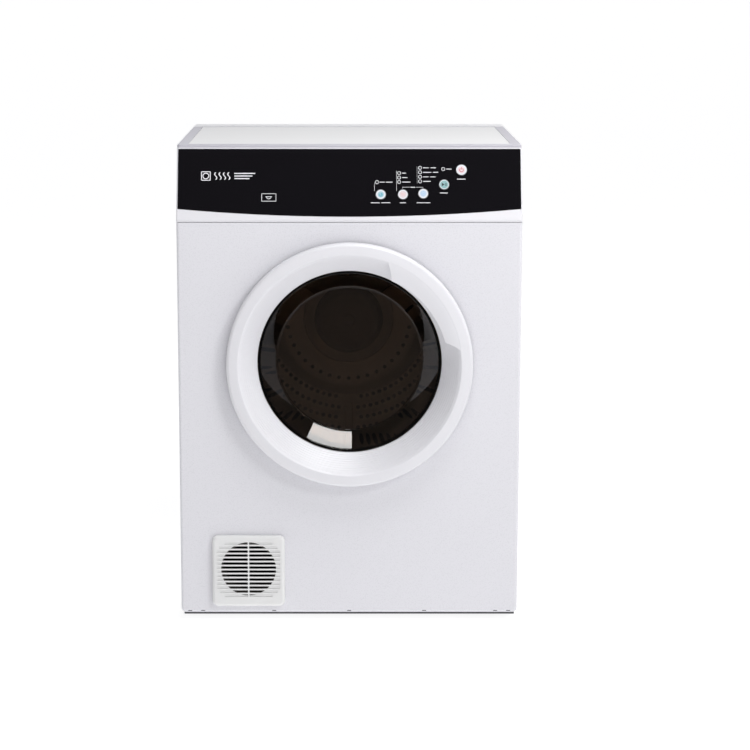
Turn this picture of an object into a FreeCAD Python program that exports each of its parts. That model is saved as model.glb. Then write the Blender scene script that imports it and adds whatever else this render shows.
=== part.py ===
"""Front-loading vented clothes dryer for about 7 kg of laundry, in millimetres.

Everything is modelled with y = 0 on the face of the front panel, y growing towards the back,
x = 0 on the centre line and z = 0 on the floor.  save() then moves each piece so that the
origin is the middle of the base, with the door facing -Y.
"""
import FreeCAD, Part
import math
import os

from FreeCAD import Vector

# ---------------------------------------------------------------- driving dimensions
WIDTH = 595.0
HEIGHT = 840.0
CABINET_DEPTH = 540.0
DOOR_STAND_OFF = 25.0            # how far the door's crease stands in front of the front panel
SHEET = 0.8                      # steel sheet of the panels
SKIRT_Z = 15.0                   # lower edge of the panels
SEAM_Z = 710.0                   # joint between the front panel and the control housing
TOP_FRAME_Z = 834.8              # underside of the worktop frame
HALF = WIDTH / 2

# screws in the worktop and the back
TOP_SCREW_X = (-225, 0, 225)
TOP_SCREW_Y = 500.0
REAR_STRIP = 66.0                # depth of the worktop frame's rear strip
BACK_SCREWS = [(x, z) for x in (-262, 262) for z in (45, 300, 555, 810)] + [(0, 45), (0, 810)]
SCREW_HOLE_RADIUS = 1.9

# control panel: a plane that leans back, described by s up the slope and n outwards
LEAN_DEGREES = 20.0
SLOPE_START_Z = 715.0
FASCIA_HALF_WIDTH = 295.0
FASCIA_TOP = 125.0
FASCIA_END_LOW = 19.0            # lower edge at its two ends
FASCIA_MIDDLE_LOW = 5.4          # lower edge on the centre line
FASCIA_PROUD = 0.6
FASCIA_RECESS = 2.0
HOUSING_BACK_Y = 54.0
BUTTON_RADIUS = 9.35
POWER_BUTTON_RADIUS = 9.85
BUTTONS = {
    "anti_crease_button": (54.0, 44.0),
    "heat_button": (92.0, 44.0),
    "program_button": (127.0, 45.5),
    "start_pause_button": (163.0, 61.5),
    "power_button": (193.0, 87.5),
}
LENS_RADIUS = 3.1
LENSES = [
    (47.5, 66.1),
    (85.6, 82.1), (85.6, 74.2), (85.6, 66.3),
    (121.7, 91.5), (121.7, 83.5), (121.7, 75.5), (121.7, 67.5),
    (161.7, 89.3),
]

# door, all radii from its own centre
DOOR_Z = 462.7
DOOR_RADIUS = 214.3
CREASE_RADIUS = 191.4
GLASS_RIM_RADIUS = 159.4
GLASS_RIM_Y = 23.0
WINDOW_RADIUS = 127.8
WINDOW_Y = 53.0
GLASS = 3.0
DOOR_SKIN = 2.5
HINGE_X = -208.0
HINGE_Y = -9.5
HINGE_PIN_RADIUS = 2.0
KNUCKLE_RADIUS = 3.6
KNUCKLE_OFFSET = 30.0            # fixed hinge knuckles above and below the door's centre
KNUCKLE_HALF = 4.0
BARREL_HALF = 25.5               # the door's own barrel, between the two fixed knuckles
HINGE_NOTCH_HALF = 37.5          # the rim is cut away this far each way to clear the hinge
PANEL_OPENING_RADIUS = 193.0
HANDLE_START = 22.0              # degrees clockwise from the top
HANDLE_END = 80.0
GRIP_INNER_RADIUS = 168.0
GRIP_INNER_Y = -19.0

# drum
DRUM_Z = 473.0
DRUM_RADIUS = 270.0
DRUM_FRONT_Y = 56.0
DRUM_REAR_Y = 500.0
DRUM_SHEET = 0.8
DRUM_MOUTH_RADIUS = 190.0
MOUTH_RADIUS = 170.0             # fixed opening in the front bulkhead
BULKHEAD_Y = 36.3
BULKHEAD_SHEET = 1.0
RECESS_RADIUS = 160.0            # where the raised centre of the rear wall starts
PLATEAU_RADIUS = 135.0
PLATEAU_Y = 449.0
FILTER_SKIRT_RADIUS = 87.0
SPINDLE_RADIUS = 9.0
RUNNING_GAP = 0.05

# fan, coaxial with the drum
FAN_RADIUS = 100.0
FAN_BLADES = 24
FAN_PULLEY_RADIUS = 24.0
REAR_BULKHEAD_Y = 519.0
BACK_PANEL_Y = 537.2
BACK_SHEET = 0.8

# motor and belts
MOTOR_X = 150.0
MOTOR_Z = 92.0
MOTOR_RADIUS = 58.0
SHAFT_RADIUS = 8.0
DRUM_PULLEY_RADIUS = 10.0
MOTOR_FAN_PULLEY_RADIUS = 48.0
IDLER_X = 40.0
IDLER_Z = 95.0
IDLER_RADIUS = 20.0
IDLER_PIVOT_X = 85.0
IDLER_PIVOT_Z = 45.0
BELT_Y = 298.0
BELT_WIDTH = 12.0
BELT_GAP = 0.3
BELT = 2.0

# vent port and grille, low on the left of the front panel
PORT_X = -177.5
PORT_Z = 93.0
PORT_RADIUS = 48.5
GRILLE_SEAT_RADIUS = 50.9        # wider mouth of the port, which the grille's spigot fits in
GRILLE_SEAT_DEPTH = 11.6
PORT_DEPTH = 40.0
GRILLE_HALF = 64.0
GRILLE_PROUD = 9.0
SLOT_COUNT = 14
SLOT_PITCH = 7.2
SLOT_HEIGHT = 4.0

FOOT_X = 235.0
FOOT_Y = (70.0, 480.0)

AXIS_Y = Vector(0, 1, 0)


# ---------------------------------------------------------------- small tools
def box(x0, x1, y0, y1, z0, z1):
    return Part.makeBox(x1 - x0, y1 - y0, z1 - z0, Vector(x0, y0, z0))


def rod(radius, x, z, y0, y1):
    """A cylinder whose axis runs front to back."""
    return Part.makeCylinder(radius, y1 - y0, Vector(x, y0, z), AXIS_Y)


def rod_up(radius, x, y, z0, z1):
    return Part.makeCylinder(radius, z1 - z0, Vector(x, y, z0), Vector(0, 0, 1))


def tube(inner, outer, x, z, y0, y1):
    return rod(outer, x, z, y0, y1).cut(rod(inner, x, z, y0 - 1, y1 + 1))


def turned(outline, x=0.0, z=0.0, start=0.0, sweep=360.0):
    """Turn a closed outline of (radius, y) points about a front-to-back axis."""
    points = [Vector(x, y, z + radius) for radius, y in outline]
    face = Part.Face(Part.makePolygon(points + points[:1]))
    face.rotate(Vector(x, 0, z), AXIS_Y, start)
    return face.revolve(Vector(x, 0, z), AXIS_Y, sweep)


def slab(points, y0, y1):
    """Extrude an outline of (x, z) points from y0 to y1."""
    corners = [Vector(x, y0, z) for x, z in points]
    return Part.Face(Part.makePolygon(corners + corners[:1])).extrude(Vector(0, y1 - y0, 0))


def joined(first, *others):
    return first.fuse(list(others)).removeSplitter()


def without(shape, *tools):
    return shape.cut(list(tools))


def rounded_square(half, radius, y0, y1, x, z):
    block = box(x - half, x + half, y0, y1, z - half, z + half)
    edges = [edge for edge in block.Edges if abs(edge.tangentAt(edge.FirstParameter).y) > 0.9]
    return block.makeFillet(radius, edges)


def on_slope(shape):
    """Place a shape drawn as x, s, n onto the leaning control panel."""
    shape = shape.copy()
    shape.rotate(Vector(0, 0, 0), Vector(1, 0, 0), 90.0 - LEAN_DEGREES)
    shape.translate(Vector(0, 0, SLOPE_START_Z))
    return shape


def slope_rod(radius, x, s, n0, n1):
    return Part.makeCylinder(radius, n1 - n0, Vector(x, s, n0), Vector(0, 0, 1))


def slope_point(s, n=0.0):
    """The (y, z) of a point s up the slope and n out from it."""
    lean = math.radians(LEAN_DEGREES)
    y = s * math.sin(lean) - n * math.cos(lean)
    z = SLOPE_START_Z + s * math.cos(lean) + n * math.sin(lean)
    return y, z


def side_slab(points, x0, x1):
    """Extrude an outline of (y, z) points from x0 to x1."""
    corners = [Vector(x0, y, z) for y, z in points]
    return Part.Face(Part.makePolygon(corners + corners[:1])).extrude(Vector(x1 - x0, 0, 0))


def save(name, shape):
    placed = shape.copy()
    placed.translate(Vector(0, (DOOR_STAND_OFF - CABINET_DEPTH) / 2, 0))
    placed.exportStep("parts/" + name + ".step")


# ---------------------------------------------------------------- cabinet
def front_panel():
    """Pressed steel front with folded sides, the door opening and the vent hole."""
    return_depth = 16.0
    outer = box(-HALF, HALF, 0, return_depth, SKIRT_Z, SEAM_Z)
    low_corners = [e for e in outer.Edges
                   if abs(e.tangentAt(e.FirstParameter).y) > 0.9 and e.CenterOfMass.z < 100]
    outer = outer.makeFillet(8.0, low_corners)
    front_rim = [e for e in outer.Edges if abs(e.CenterOfMass.y) < 0.01 and e.CenterOfMass.z < SEAM_Z - 1]
    outer = outer.makeFillet(5.0, front_rim)
    inner = box(-HALF + SHEET, HALF - SHEET, SHEET, return_depth + 1, SKIRT_Z + SHEET, SEAM_Z - SHEET)
    inner_edges = [e for e in inner.Edges
                   if e.CenterOfMass.y < SHEET + 0.01 and e.CenterOfMass.z < SEAM_Z - 5]
    inner = inner.makeFillet(5.0, inner_edges)
    panel = outer.cut(inner)
    opening = rod(PANEL_OPENING_RADIUS, 0, DOOR_Z, -1, 20)
    lip = tube(PANEL_OPENING_RADIUS, PANEL_OPENING_RADIUS + SHEET, 0, DOOR_Z, 0.2, 12)
    vent_hole = rod(GRILLE_SEAT_RADIUS, PORT_X, PORT_Z, -1, 20)
    hinge_slots = [box(-206.5, -195.5, -1, 4, DOOR_Z + side * KNUCKLE_OFFSET - 5.5,
                       DOOR_Z + side * KNUCKLE_OFFSET + 5.5) for side in (-1, 1)]
    striker_slot = box(196.5, 207, -1, 4, DOOR_Z - 11, DOOR_Z + 11)
    switch_hole = rod(3.2, 193.4, DOOR_Z - 50, -1, 4)
    screw_notches = [box(x - 3.5, x + 3.5, -1, 0.5, SKIRT_Z + 3.2, SKIRT_Z + 4.8)
                     for x in (-282, -259, -133, 0, 133, 259, 282)]
    panel = without(panel, opening, vent_hole, striker_slot, switch_hole, *hinge_slots, *screw_notches)
    return panel.fuse(lip)


def side_panel(side):
    """One side of the wrapper, with a rear and a top flange, notched for the control housing."""
    flange = 14.0
    skin = box(HALF - SHEET, HALF, 16.2, CABINET_DEPTH, SKIRT_Z, TOP_FRAME_Z)
    rear = box(HALF - flange, HALF, CABINET_DEPTH - SHEET, CABINET_DEPTH, SKIRT_Z, TOP_FRAME_Z)
    top = box(HALF - flange, HALF, HOUSING_BACK_Y + 1, CABINET_DEPTH, TOP_FRAME_Z - SHEET, TOP_FRAME_Z)
    front = box(HALF - flange, HALF, 16.2, 16.2 + SHEET, SKIRT_Z, SEAM_Z)
    panel = joined(skin, rear, top, front)
    notch = box(HALF - 20, HALF + 1, 0, HOUSING_BACK_Y + 0.2, SEAM_Z + 1.0, HEIGHT)
    panel = panel.cut(notch)
    return panel if side > 0 else panel.mirror(Vector(0, 0, 0), Vector(1, 0, 0))




def back_panel():
    """Flat back with the bearing hole, air inlets, screw holes and the cable hole."""
    plate = box(-HALF + 14.5, HALF - 14.5, BACK_PANEL_Y, BACK_PANEL_Y + BACK_SHEET, SKIRT_Z, TOP_FRAME_Z - 2)
    louvres = [box(70 + 22 * column, 84 + 22 * column, BACK_PANEL_Y - 1, BACK_PANEL_Y + 3,
                   190 + 14 * row, 196 + 14 * row) for column in range(6) for row in range(6)]
    cable_hole = rod(10.2, 225, 150, BACK_PANEL_Y - 1, BACK_PANEL_Y + 3)
    bearing_hole = rod(SPINDLE_RADIUS + 2, 0, DRUM_Z, BACK_PANEL_Y - 1, BACK_PANEL_Y + 3)
    screw_holes = [rod(SCREW_HOLE_RADIUS, x, z, BACK_PANEL_Y - 1, BACK_PANEL_Y + 3) for x, z in BACK_SCREWS]
    return without(plate, cable_hole, bearing_hole, *louvres, *screw_holes)


def base_pan():
    """Moulded floor with a rim, ribs, four foot bosses and two motor cradles."""
    floor = box(-292, 292, 18, 534, 18, 21)
    rim = box(-292, 292, 18, 534, 18, 40).cut(box(-289, 289, 21, 531, 10, 50))
    ribs = [box(-289, 289, y, y + 3, 21, 30) for y in (120, 250, 420)]
    bosses = [rod_up(12, side * FOOT_X, y, 18, 38) for side in (-1, 1) for y in FOOT_Y]
    cradles = [box(MOTOR_X - 50, MOTOR_X + 50, y, y + 6, 21, 62) for y in (340, 434)]
    pan = joined(floor, rim, *ribs, *bosses, *cradles)
    holes = [rod_up(4.1, side * FOOT_X, y, 0, 60) for side in (-1, 1) for y in FOOT_Y]
    motor_seat = rod(MOTOR_RADIUS, MOTOR_X, MOTOR_Z, 330, 450)
    pivot_boss = box(IDLER_PIVOT_X - 12, IDLER_PIVOT_X + 12, 322, 330, 21, IDLER_PIVOT_Z + 12)
    pin_hole = rod(6.05, IDLER_PIVOT_X, IDLER_PIVOT_Z, 320, 332)
    return without(pan.fuse(pivot_boss), motor_seat, pin_hole, *holes)


def top_frame():
    """Plastic frame round the worktop panel, wider at the sides and the front."""
    front_y = slope_point(127.5)[0]
    outer = box(-HALF, HALF, front_y, CABINET_DEPTH, TOP_FRAME_Z, HEIGHT)
    corners = [e for e in outer.Edges if abs(e.tangentAt(e.FirstParameter).z) > 0.9]
    outer = outer.makeFillet(6.0, corners)
    rim = [e for e in outer.Edges if e.BoundBox.ZMin > HEIGHT - 0.01]
    outer = outer.makeFillet(1.5, rim)
    window = box(-HALF + 18, HALF - 18, front_y + 18, CABINET_DEPTH - REAR_STRIP, TOP_FRAME_Z - 1, HEIGHT + 1)
    seats = [rod_up(4.2, x, TOP_SCREW_Y, HEIGHT - 2.4, HEIGHT + 1) for x in TOP_SCREW_X]
    holes = [rod_up(SCREW_HOLE_RADIUS, x, TOP_SCREW_Y, TOP_FRAME_Z - 1, HEIGHT) for x in TOP_SCREW_X]
    return without(outer, window, *seats, *holes)


def top_panel():
    """Faced board let into the worktop frame."""
    front_y = slope_point(127.5)[0]
    x = HALF - 18.4
    return box(-x, x, front_y + 18.4, CABINET_DEPTH - REAR_STRIP - 0.4, TOP_FRAME_Z, HEIGHT - 0.6)


def screw(direction, x, y, z, radius=4.0, head=2.0, stem=9.0):
    """A pan-head screw: the head's top is at the point and the stem runs against direction."""
    start = Vector(x, y, z)
    back = direction * -1
    cap = Part.makeCylinder(radius, head, start, back)
    shank = Part.makeCylinder(radius * 0.45, stem + head, start, back)
    slot = Part.makeBox(radius * 1.2, 1.0, 1.0, Vector(-radius * 0.6, -0.5, -0.5))
    cross = slot.fuse(slot.rotated(Vector(0, 0, 0), Vector(0, 0, 1), 90))
    if abs(direction.y) > 0.5:
        cross.rotate(Vector(0, 0, 0), Vector(1, 0, 0), 90)
    cross.translate(start)
    return cap.fuse(shank).cut(cross)


def casing_screws():
    up = Vector(0, 0, 1)
    top = [screw(up, x, TOP_SCREW_Y, HEIGHT - 0.6, 4.0, 1.8, 2.0) for x in TOP_SCREW_X]
    back = [screw(AXIS_Y, x, CABINET_DEPTH, z, 4.0, 2.0, 2.5) for x, z in BACK_SCREWS]
    return Part.makeCompound(top + back)


def control_housing():
    """White moulding that carries the fascia; its face leans back and it is open behind."""
    face = slope_point(127.5)
    outline = [(0, SEAM_Z + 1.0), (0, SLOPE_START_Z), (face[0], TOP_FRAME_Z),
               (HOUSING_BACK_Y, TOP_FRAME_Z), (HOUSING_BACK_Y, SEAM_Z + 1.0)]
    body = side_slab(outline, -HALF, HALF)
    corners = [e for e in body.Edges if e.Length < 140 and abs(e.CenterOfMass.x) > HALF - 1
               and e.CenterOfMass.y < face[0] and e.BoundBox.ZLength > 3]
    body = body.makeFillet(2.5, corners)
    low = slope_point(3, -3.5)
    high = slope_point(118, -3.5)
    hollow = side_slab([(low[0] + 1, SEAM_Z + 4), low, high, (HOUSING_BACK_Y + 1, TOP_FRAME_Z - 5),
                        (HOUSING_BACK_Y + 1, SEAM_Z + 4)], -HALF + 4, HALF - 4)
    seat = on_slope(fascia_outline(0.4, -FASCIA_RECESS, 5.0))
    window = on_slope(box(30, 215, 25, 105, -10, 5))
    return without(body, hollow, seat, window)


def fascia_outline(margin, n0, n1):
    """The fascia's shape on the slope: a band whose lower edge is one long arc."""
    x = FASCIA_HALF_WIDTH + margin
    left = Vector(-x, FASCIA_END_LOW - margin, n0)
    middle = Vector(0, FASCIA_MIDDLE_LOW - margin, n0)
    right = Vector(x, FASCIA_END_LOW - margin, n0)
    high_left = Vector(-x, FASCIA_TOP + margin, n0)
    high_right = Vector(x, FASCIA_TOP + margin, n0)
    edges = [Part.Arc(left, middle, right).toShape(), Part.makeLine(right, high_right),
             Part.makeLine(high_right, high_left), Part.makeLine(high_left, left)]
    return Part.Face(Part.Wire(edges)).extrude(Vector(0, 0, n1 - n0))


def control_fascia():
    plate = fascia_outline(0.0, -FASCIA_RECESS, FASCIA_PROUD)
    rim = [e for e in plate.Edges if e.BoundBox.ZMin > FASCIA_PROUD - 0.01]
    plate = plate.makeFillet(0.5, rim)
    holes = [slope_rod(button_radius(name) + 0.35, x, s, -5, 5) for name, (x, s) in BUTTONS.items()]
    holes += [slope_rod(LENS_RADIUS + 0.03, x, s, -5, 5) for x, s in LENSES]
    return on_slope(without(plate, *holes))


def button_radius(name):
    return POWER_BUTTON_RADIUS if name == "power_button" else BUTTON_RADIUS


def button(name):
    """A push button: a domed cap in the fascia and a flange that stops it from falling out."""
    x, s = BUTTONS[name]
    radius = button_radius(name)
    cap = slope_rod(radius, x, s, -2.3, FASCIA_PROUD + 1.6)
    top = [e for e in cap.Edges if e.BoundBox.ZMin > FASCIA_PROUD + 1.5]
    cap = cap.makeFillet(1.2, top)
    flange = slope_rod(radius + 2, x, s, -4.2, -2.3)
    stem = slope_rod(2.5, x, s, -8.4, -4.0)
    return on_slope(joined(cap, flange, stem))


def indicator_lenses():
    return Part.makeCompound([on_slope(slope_rod(LENS_RADIUS, x, s, -6, FASCIA_PROUD + 0.1))
                              for x, s in LENSES])


def control_board():
    board = box(34, 211, 28, 103, -11.6, -10.0)
    chips = [box(60, 78, 70, 84, -14, -11.6), box(100, 130, 50, 62, -15, -11.6),
             box(150, 175, 80, 95, -19, -11.6), box(185, 200, 40, 60, -22, -11.6)]
    return on_slope(joined(board, *chips))


# ---------------------------------------------------------------- bulkheads
def front_bulkhead():
    """Plate behind the front panel with the loading mouth and the drum's front support."""
    plate = box(-280, 280, BULKHEAD_Y, BULKHEAD_Y + BULKHEAD_SHEET, 165, 700)
    lower = box(-100, 280, BULKHEAD_Y, BULKHEAD_Y + BULKHEAD_SHEET, 42, 166)
    lip_outside = MOUTH_RADIUS + 1.2
    mouth_lip = turned([(MOUTH_RADIUS, BULKHEAD_Y), (lip_outside, BULKHEAD_Y), (lip_outside, 53),
                        (MOUTH_RADIUS, 53)], 0, DOOR_Z)
    bulkhead = joined(plate, lower).cut(rod(MOUTH_RADIUS, 0, DOOR_Z, 30, 60))
    return bulkhead.fuse(mouth_lip)


def drum_glide():
    """Low-friction ring that the drum's front edge runs on."""
    return tube(194, 206, 0, DRUM_Z, BULKHEAD_Y + BULKHEAD_SHEET, 55.6)


def rear_bulkhead():
    plate = box(-280, 280, REAR_BULKHEAD_Y, REAR_BULKHEAD_Y + BULKHEAD_SHEET, 42, 760)
    return without(plate, rod(22, 0, DRUM_Z, 510, 530), rod(14, MOTOR_X, MOTOR_Z, 510, 530))


# ---------------------------------------------------------------- drum
def drum_shell():
    """Rolled drum with a stiffening bead front and rear and a turned-in front wall."""
    r = DRUM_RADIUS
    t = DRUM_SHEET
    f = DRUM_FRONT_Y
    b = DRUM_REAR_Y
    outline = [(DRUM_MOUTH_RADIUS, f), (r - 6, f), (r, f + 6), (r, f + 40), (r - 4, f + 46), (r - 4, f + 62),
               (r, f + 68), (r, b - 68), (r - 4, b - 62), (r - 4, b - 46), (r, b - 40), (r, b + t),
               (r - t, b + t), (r - t, b - 40), (r - 4 - t, b - 46), (r - 4 - t, b - 62), (r - t, b - 68),
               (r - t, f + 68), (r - 4 - t, f + 62), (r - 4 - t, f + 46), (r - t, f + 40),
               (r - t, f + 6), (r - 6 - t, f + t), (DRUM_MOUTH_RADIUS, f + t)]
    return turned(outline, 0, DRUM_Z)


def drum_rear_wall():
    """Rear wall: a flat outer ring and a raised centre that holds the lint filter."""
    t = DRUM_SHEET
    r = DRUM_RADIUS - DRUM_SHEET
    outline = [(18, PLATEAU_Y), (PLATEAU_RADIUS - 6, PLATEAU_Y), (PLATEAU_RADIUS, PLATEAU_Y + 2),
               (RECESS_RADIUS, DRUM_REAR_Y), (r, DRUM_REAR_Y), (r, DRUM_REAR_Y + t),
               (RECESS_RADIUS - 1, DRUM_REAR_Y + t), (PLATEAU_RADIUS - 1, PLATEAU_Y + 2 + t),
               (PLATEAU_RADIUS - 6, PLATEAU_Y + t), (18, PLATEAU_Y + t)]
    wall = turned(outline, 0, DRUM_Z)
    windows = []
    for index in range(8):
        cut = turned([(44, 440), (76, 440), (76, 460), (44, 460)], 0, DRUM_Z, index * 45 + 6, 33)
        windows.append(cut)
    return without(wall, *windows)


def drum_lifters():
    """Three hollow-looking baffles that tumble the load."""
    root = DRUM_RADIUS - DRUM_SHEET
    lifters = []
    for index in range(3):
        outline = [(-34, -root + 2.5), (-20, -root + 30), (-8, -root + 44), (8, -root + 44), (20, -root + 30),
                   (34, -root + 2.5)]
        bar = slab([(x, DRUM_Z + z) for x, z in outline], 132, 424)
        bar = bar.fuse(slab([(-34, DRUM_Z - root + 2.5), (34, DRUM_Z - root + 2.5), (34, DRUM_Z - root - 1),
                             (-34, DRUM_Z - root - 1)], 132, 424))
        bar = bar.common(rod(root, 0, DRUM_Z, 100, 500))
        bar.rotate(Vector(0, 0, DRUM_Z), AXIS_Y, 60 + 120 * index)
        lifters.append(bar)
    return Part.makeCompound(lifters)


def drum_spindle():
    """Shaft with a bolting flange that carries the drum's rear."""
    flange = rod(40, 0, DRUM_Z, PLATEAU_Y + DRUM_SHEET, PLATEAU_Y + 5)
    shaft = rod(SPINDLE_RADIUS, 0, DRUM_Z, PLATEAU_Y + 4, 534)
    return joined(flange, shaft)


def rear_bearing():
    """Fixed sleeve on the back panel: the spindle turns inside it and the fan hub outside it."""
    sleeve = rod(14, 0, DRUM_Z, 458, BACK_PANEL_Y)
    flange = rod(36, 0, DRUM_Z, 532, BACK_PANEL_Y)
    bearing = joined(sleeve, flange)
    return bearing.cut(rod(SPINDLE_RADIUS + RUNNING_GAP, 0, DRUM_Z, 400, 560))


def filter_cover():
    """Domed cover over the lint filter, with a knob to turn and lift it."""
    outline = [(0, 414), (10, 414), (12, 417), (12, 421), (50, 421), (57, 423), (66, 438),
               (FILTER_SKIRT_RADIUS - 3, 445), (FILTER_SKIRT_RADIUS, 448.6), (FILTER_SKIRT_RADIUS - 3, 448.6),
               (FILTER_SKIRT_RADIUS - 6, 447), (63.5, 440), (55, 425), (0, 423.5)]
    return turned(outline, 0, DRUM_Z)


def filter_screen():
    """Frame and fine mesh that catch the lint, under the domed cover."""
    rim = tube(72, 78, 0, DRUM_Z, 446.0, 448.6)
    hub = rod(14, 0, DRUM_Z, 424.5, 448.6)
    spokes = [box(-1.5, 1.5, 446.0, 448.6, DRUM_Z + 13, DRUM_Z + 73) for _ in range(6)]
    for index, spoke in enumerate(spokes):
        spoke.rotate(Vector(0, 0, DRUM_Z), AXIS_Y, 60 * index)
    mesh = rod(73, 0, DRUM_Z, 447.0, 447.4)
    return joined(rim, hub, mesh, *spokes)


# ---------------------------------------------------------------- fan and air path
def fan_wheel():
    """Backplate, blades and hub of the centrifugal fan."""
    hub = rod(20, 0, DRUM_Z, 470, 531)
    plate = rod(FAN_RADIUS, 0, DRUM_Z, 500, 502)
    ring = tube(FAN_RADIUS - 14, FAN_RADIUS, 0, DRUM_Z, 466, 468)
    blades = []
    for index in range(FAN_BLADES):
        blade = box(-0.8, 0.8, 467, 501, DRUM_Z + FAN_RADIUS - 30, DRUM_Z + FAN_RADIUS - 0.5)
        blade.rotate(Vector(0, 0, DRUM_Z + FAN_RADIUS - 15), AXIS_Y, 25)
        blade.rotate(Vector(0, 0, DRUM_Z), AXIS_Y, 360 / FAN_BLADES * index)
        blades.append(blade)
    wheel = hub.fuse([plate, ring] + blades)
    trim = tube(FAN_RADIUS, FAN_RADIUS + 10, 0, DRUM_Z, 460, 510)
    return without(wheel, rod(14 + RUNNING_GAP, 0, DRUM_Z, 460, 540), trim)


def fan_pulley():
    pulley = tube(20, FAN_PULLEY_RADIUS + 2, 0, DRUM_Z, 521.8, 531)
    groove = tube(FAN_PULLEY_RADIUS, FAN_PULLEY_RADIUS + 5, 0, DRUM_Z, 523, 530)
    return pulley.cut(groove)


def fan_housing():
    """Round casing of the fan, open at the front eye and at the bottom outlet."""
    case = tube(112, 114, 0, DRUM_Z, 458, 517)
    front = tube(84, 114, 0, DRUM_Z, 458, 460)
    back = tube(21, 114, 0, DRUM_Z, 515, 517)
    outlet = box(-50, 50, 505, 515, DRUM_Z - 120, DRUM_Z - 90)
    return without(joined(case, front, back), outlet)


def exhaust_duct():
    """Duct from the fan's outlet down behind the drum and forward along the floor."""
    wall = 2.0
    outline = [(-54, 359), (54, 359), (54, 320), (-119, 160), (-119, 42), (-236, 42), (-236, 172), (-54, 336)]
    x0, x1, y0, y1, z0, z1 = -236, -119, 90, 518.5, 42, 150
    chute_outer = slab(outline, 503, y1)
    corners = [Vector(x, 503 + wall, z) for x, z in outline]
    chute_face = Part.Face(Part.makePolygon(corners + corners[:1])).makeOffset2D(-wall)
    chute_inner = chute_face.extrude(Vector(0, y1 - 503 - 2 * wall, 0))
    run_outer = box(x0, x1, y0, y1, z0, z1)
    run_inner = box(x0 + wall, x1 - wall, y0 + wall, y1 - wall, z0 + wall, z1 - wall)
    top_slot = box(-50, 50, 503 + wall, y1 - wall, 350, 370)
    front_hole = rod(50.5, PORT_X, PORT_Z, y0 - 5, y0 + 5)
    saddle = rod(114.3, 0, DRUM_Z, 500, 520)
    return without(chute_outer.fuse(run_outer), chute_inner, run_inner, top_slot, front_hole, saddle)


def exhaust_collar():
    """Round spigot that a 100 mm hose or wall tube slides into once the grille is off."""
    mouth_end = GRILLE_SEAT_DEPTH + PORT_DEPTH
    seat = tube(GRILLE_SEAT_RADIUS, GRILLE_SEAT_RADIUS + 2, PORT_X, PORT_Z, 1.6, GRILLE_SEAT_DEPTH)
    mouth = tube(PORT_RADIUS, GRILLE_SEAT_RADIUS + 2, PORT_X, PORT_Z, GRILLE_SEAT_DEPTH, mouth_end)
    neck = tube(PORT_RADIUS + 1.5, PORT_RADIUS + 3.5, PORT_X, PORT_Z, mouth_end, 90)
    flange = tube(PORT_RADIUS + 1.5, PORT_RADIUS + 9, PORT_X, PORT_Z, 87.5, 90)
    return joined(seat, mouth, neck, flange)


def heater_box():
    """Sheet-metal box that draws air in at the front and feeds it up behind the drum."""
    outer = box(-100, 60, 456, 518, 45, 150)
    inner = box(-98.5, 58.5, 450, 516.5, 46.5, 148.5)
    neck_hole = box(-80, 40, 503, 515, 140, 160)
    neck = box(-82, 42, 503, 516.5, 149, 180).cut(box(-80, 40, 504.5, 515, 140, 190))
    return joined(outer.cut(inner).cut(neck_hole), neck)


def heater_element():
    """Finned heating block in its frame."""
    frame = box(-96, 56, 468, 500, 52, 144).cut(box(-92, 52, 460, 510, 56, 140))
    fins = [box(-92 + 9 * index, -90.8 + 9 * index, 470, 498, 55, 141) for index in range(1, 16)]
    bars = [box(-93, 53, 480, 484, z, z + 4) for z in (75, 97, 119)]
    return joined(frame, *fins, *bars)


def thermostats():
    """Two disc thermostats, one on the heater box and one on the exhaust duct."""
    pieces = []
    for x, y, z in ((-20, 480, 150), (-178, 300, 150)):
        body = rod_up(9, x, y, z, z + 7)
        flange = rod_up(12, x, y, z, z + 1.5)
        tabs = box(x - 7, x - 3, y - 0.4, y + 0.4, z + 6, z + 14).fuse(
            box(x + 3, x + 7, y - 0.4, y + 0.4, z + 6, z + 14))
        pieces.append(joined(body, flange, tabs))
    return Part.makeCompound(pieces)


# ---------------------------------------------------------------- drive
def motor_body():
    body = rod(MOTOR_RADIUS - 0.2, MOTOR_X, MOTOR_Z, 332, 448)
    front_bell = rod(MOTOR_RADIUS - 14, MOTOR_X, MOTOR_Z, 322, 333)
    rear_bell = rod(MOTOR_RADIUS - 14, MOTOR_X, MOTOR_Z, 447, 458)
    box_cover = box(MOTOR_X - 25, MOTOR_X + 25, 360, 420, MOTOR_Z + 40, MOTOR_Z + 72)
    motor = joined(body, front_bell, rear_bell, box_cover)
    return motor.cut(rod(SHAFT_RADIUS + RUNNING_GAP, MOTOR_X, MOTOR_Z, 300, 470))


def motor_shaft():
    return rod(SHAFT_RADIUS, MOTOR_X, MOTOR_Z, 292, 533)


def motor_pulleys():
    """Small pulley for the drum belt in front and a large one for the fan belt behind."""
    drum_pulley = tube(SHAFT_RADIUS, DRUM_PULLEY_RADIUS + 1.5, MOTOR_X, MOTOR_Z, 295.5, 312.5)
    drum_pulley = drum_pulley.cut(tube(DRUM_PULLEY_RADIUS, 20, MOTOR_X, MOTOR_Z, 297.4, 310.6))
    fan_pulley_wheel = tube(SHAFT_RADIUS, MOTOR_FAN_PULLEY_RADIUS + 2, MOTOR_X, MOTOR_Z, 521.8, 531)
    groove = tube(MOTOR_FAN_PULLEY_RADIUS, MOTOR_FAN_PULLEY_RADIUS + 5, MOTOR_X, MOTOR_Z, 523, 530)
    return Part.makeCompound([drum_pulley, fan_pulley_wheel.cut(groove)])


def run_capacitor():
    can = rod_up(20, 236, 395, 21, 98)
    tabs = [box(x, x + 5, 394.6, 395.4, 97, 106) for x in (226, 241)]
    return joined(can, *tabs)


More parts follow.
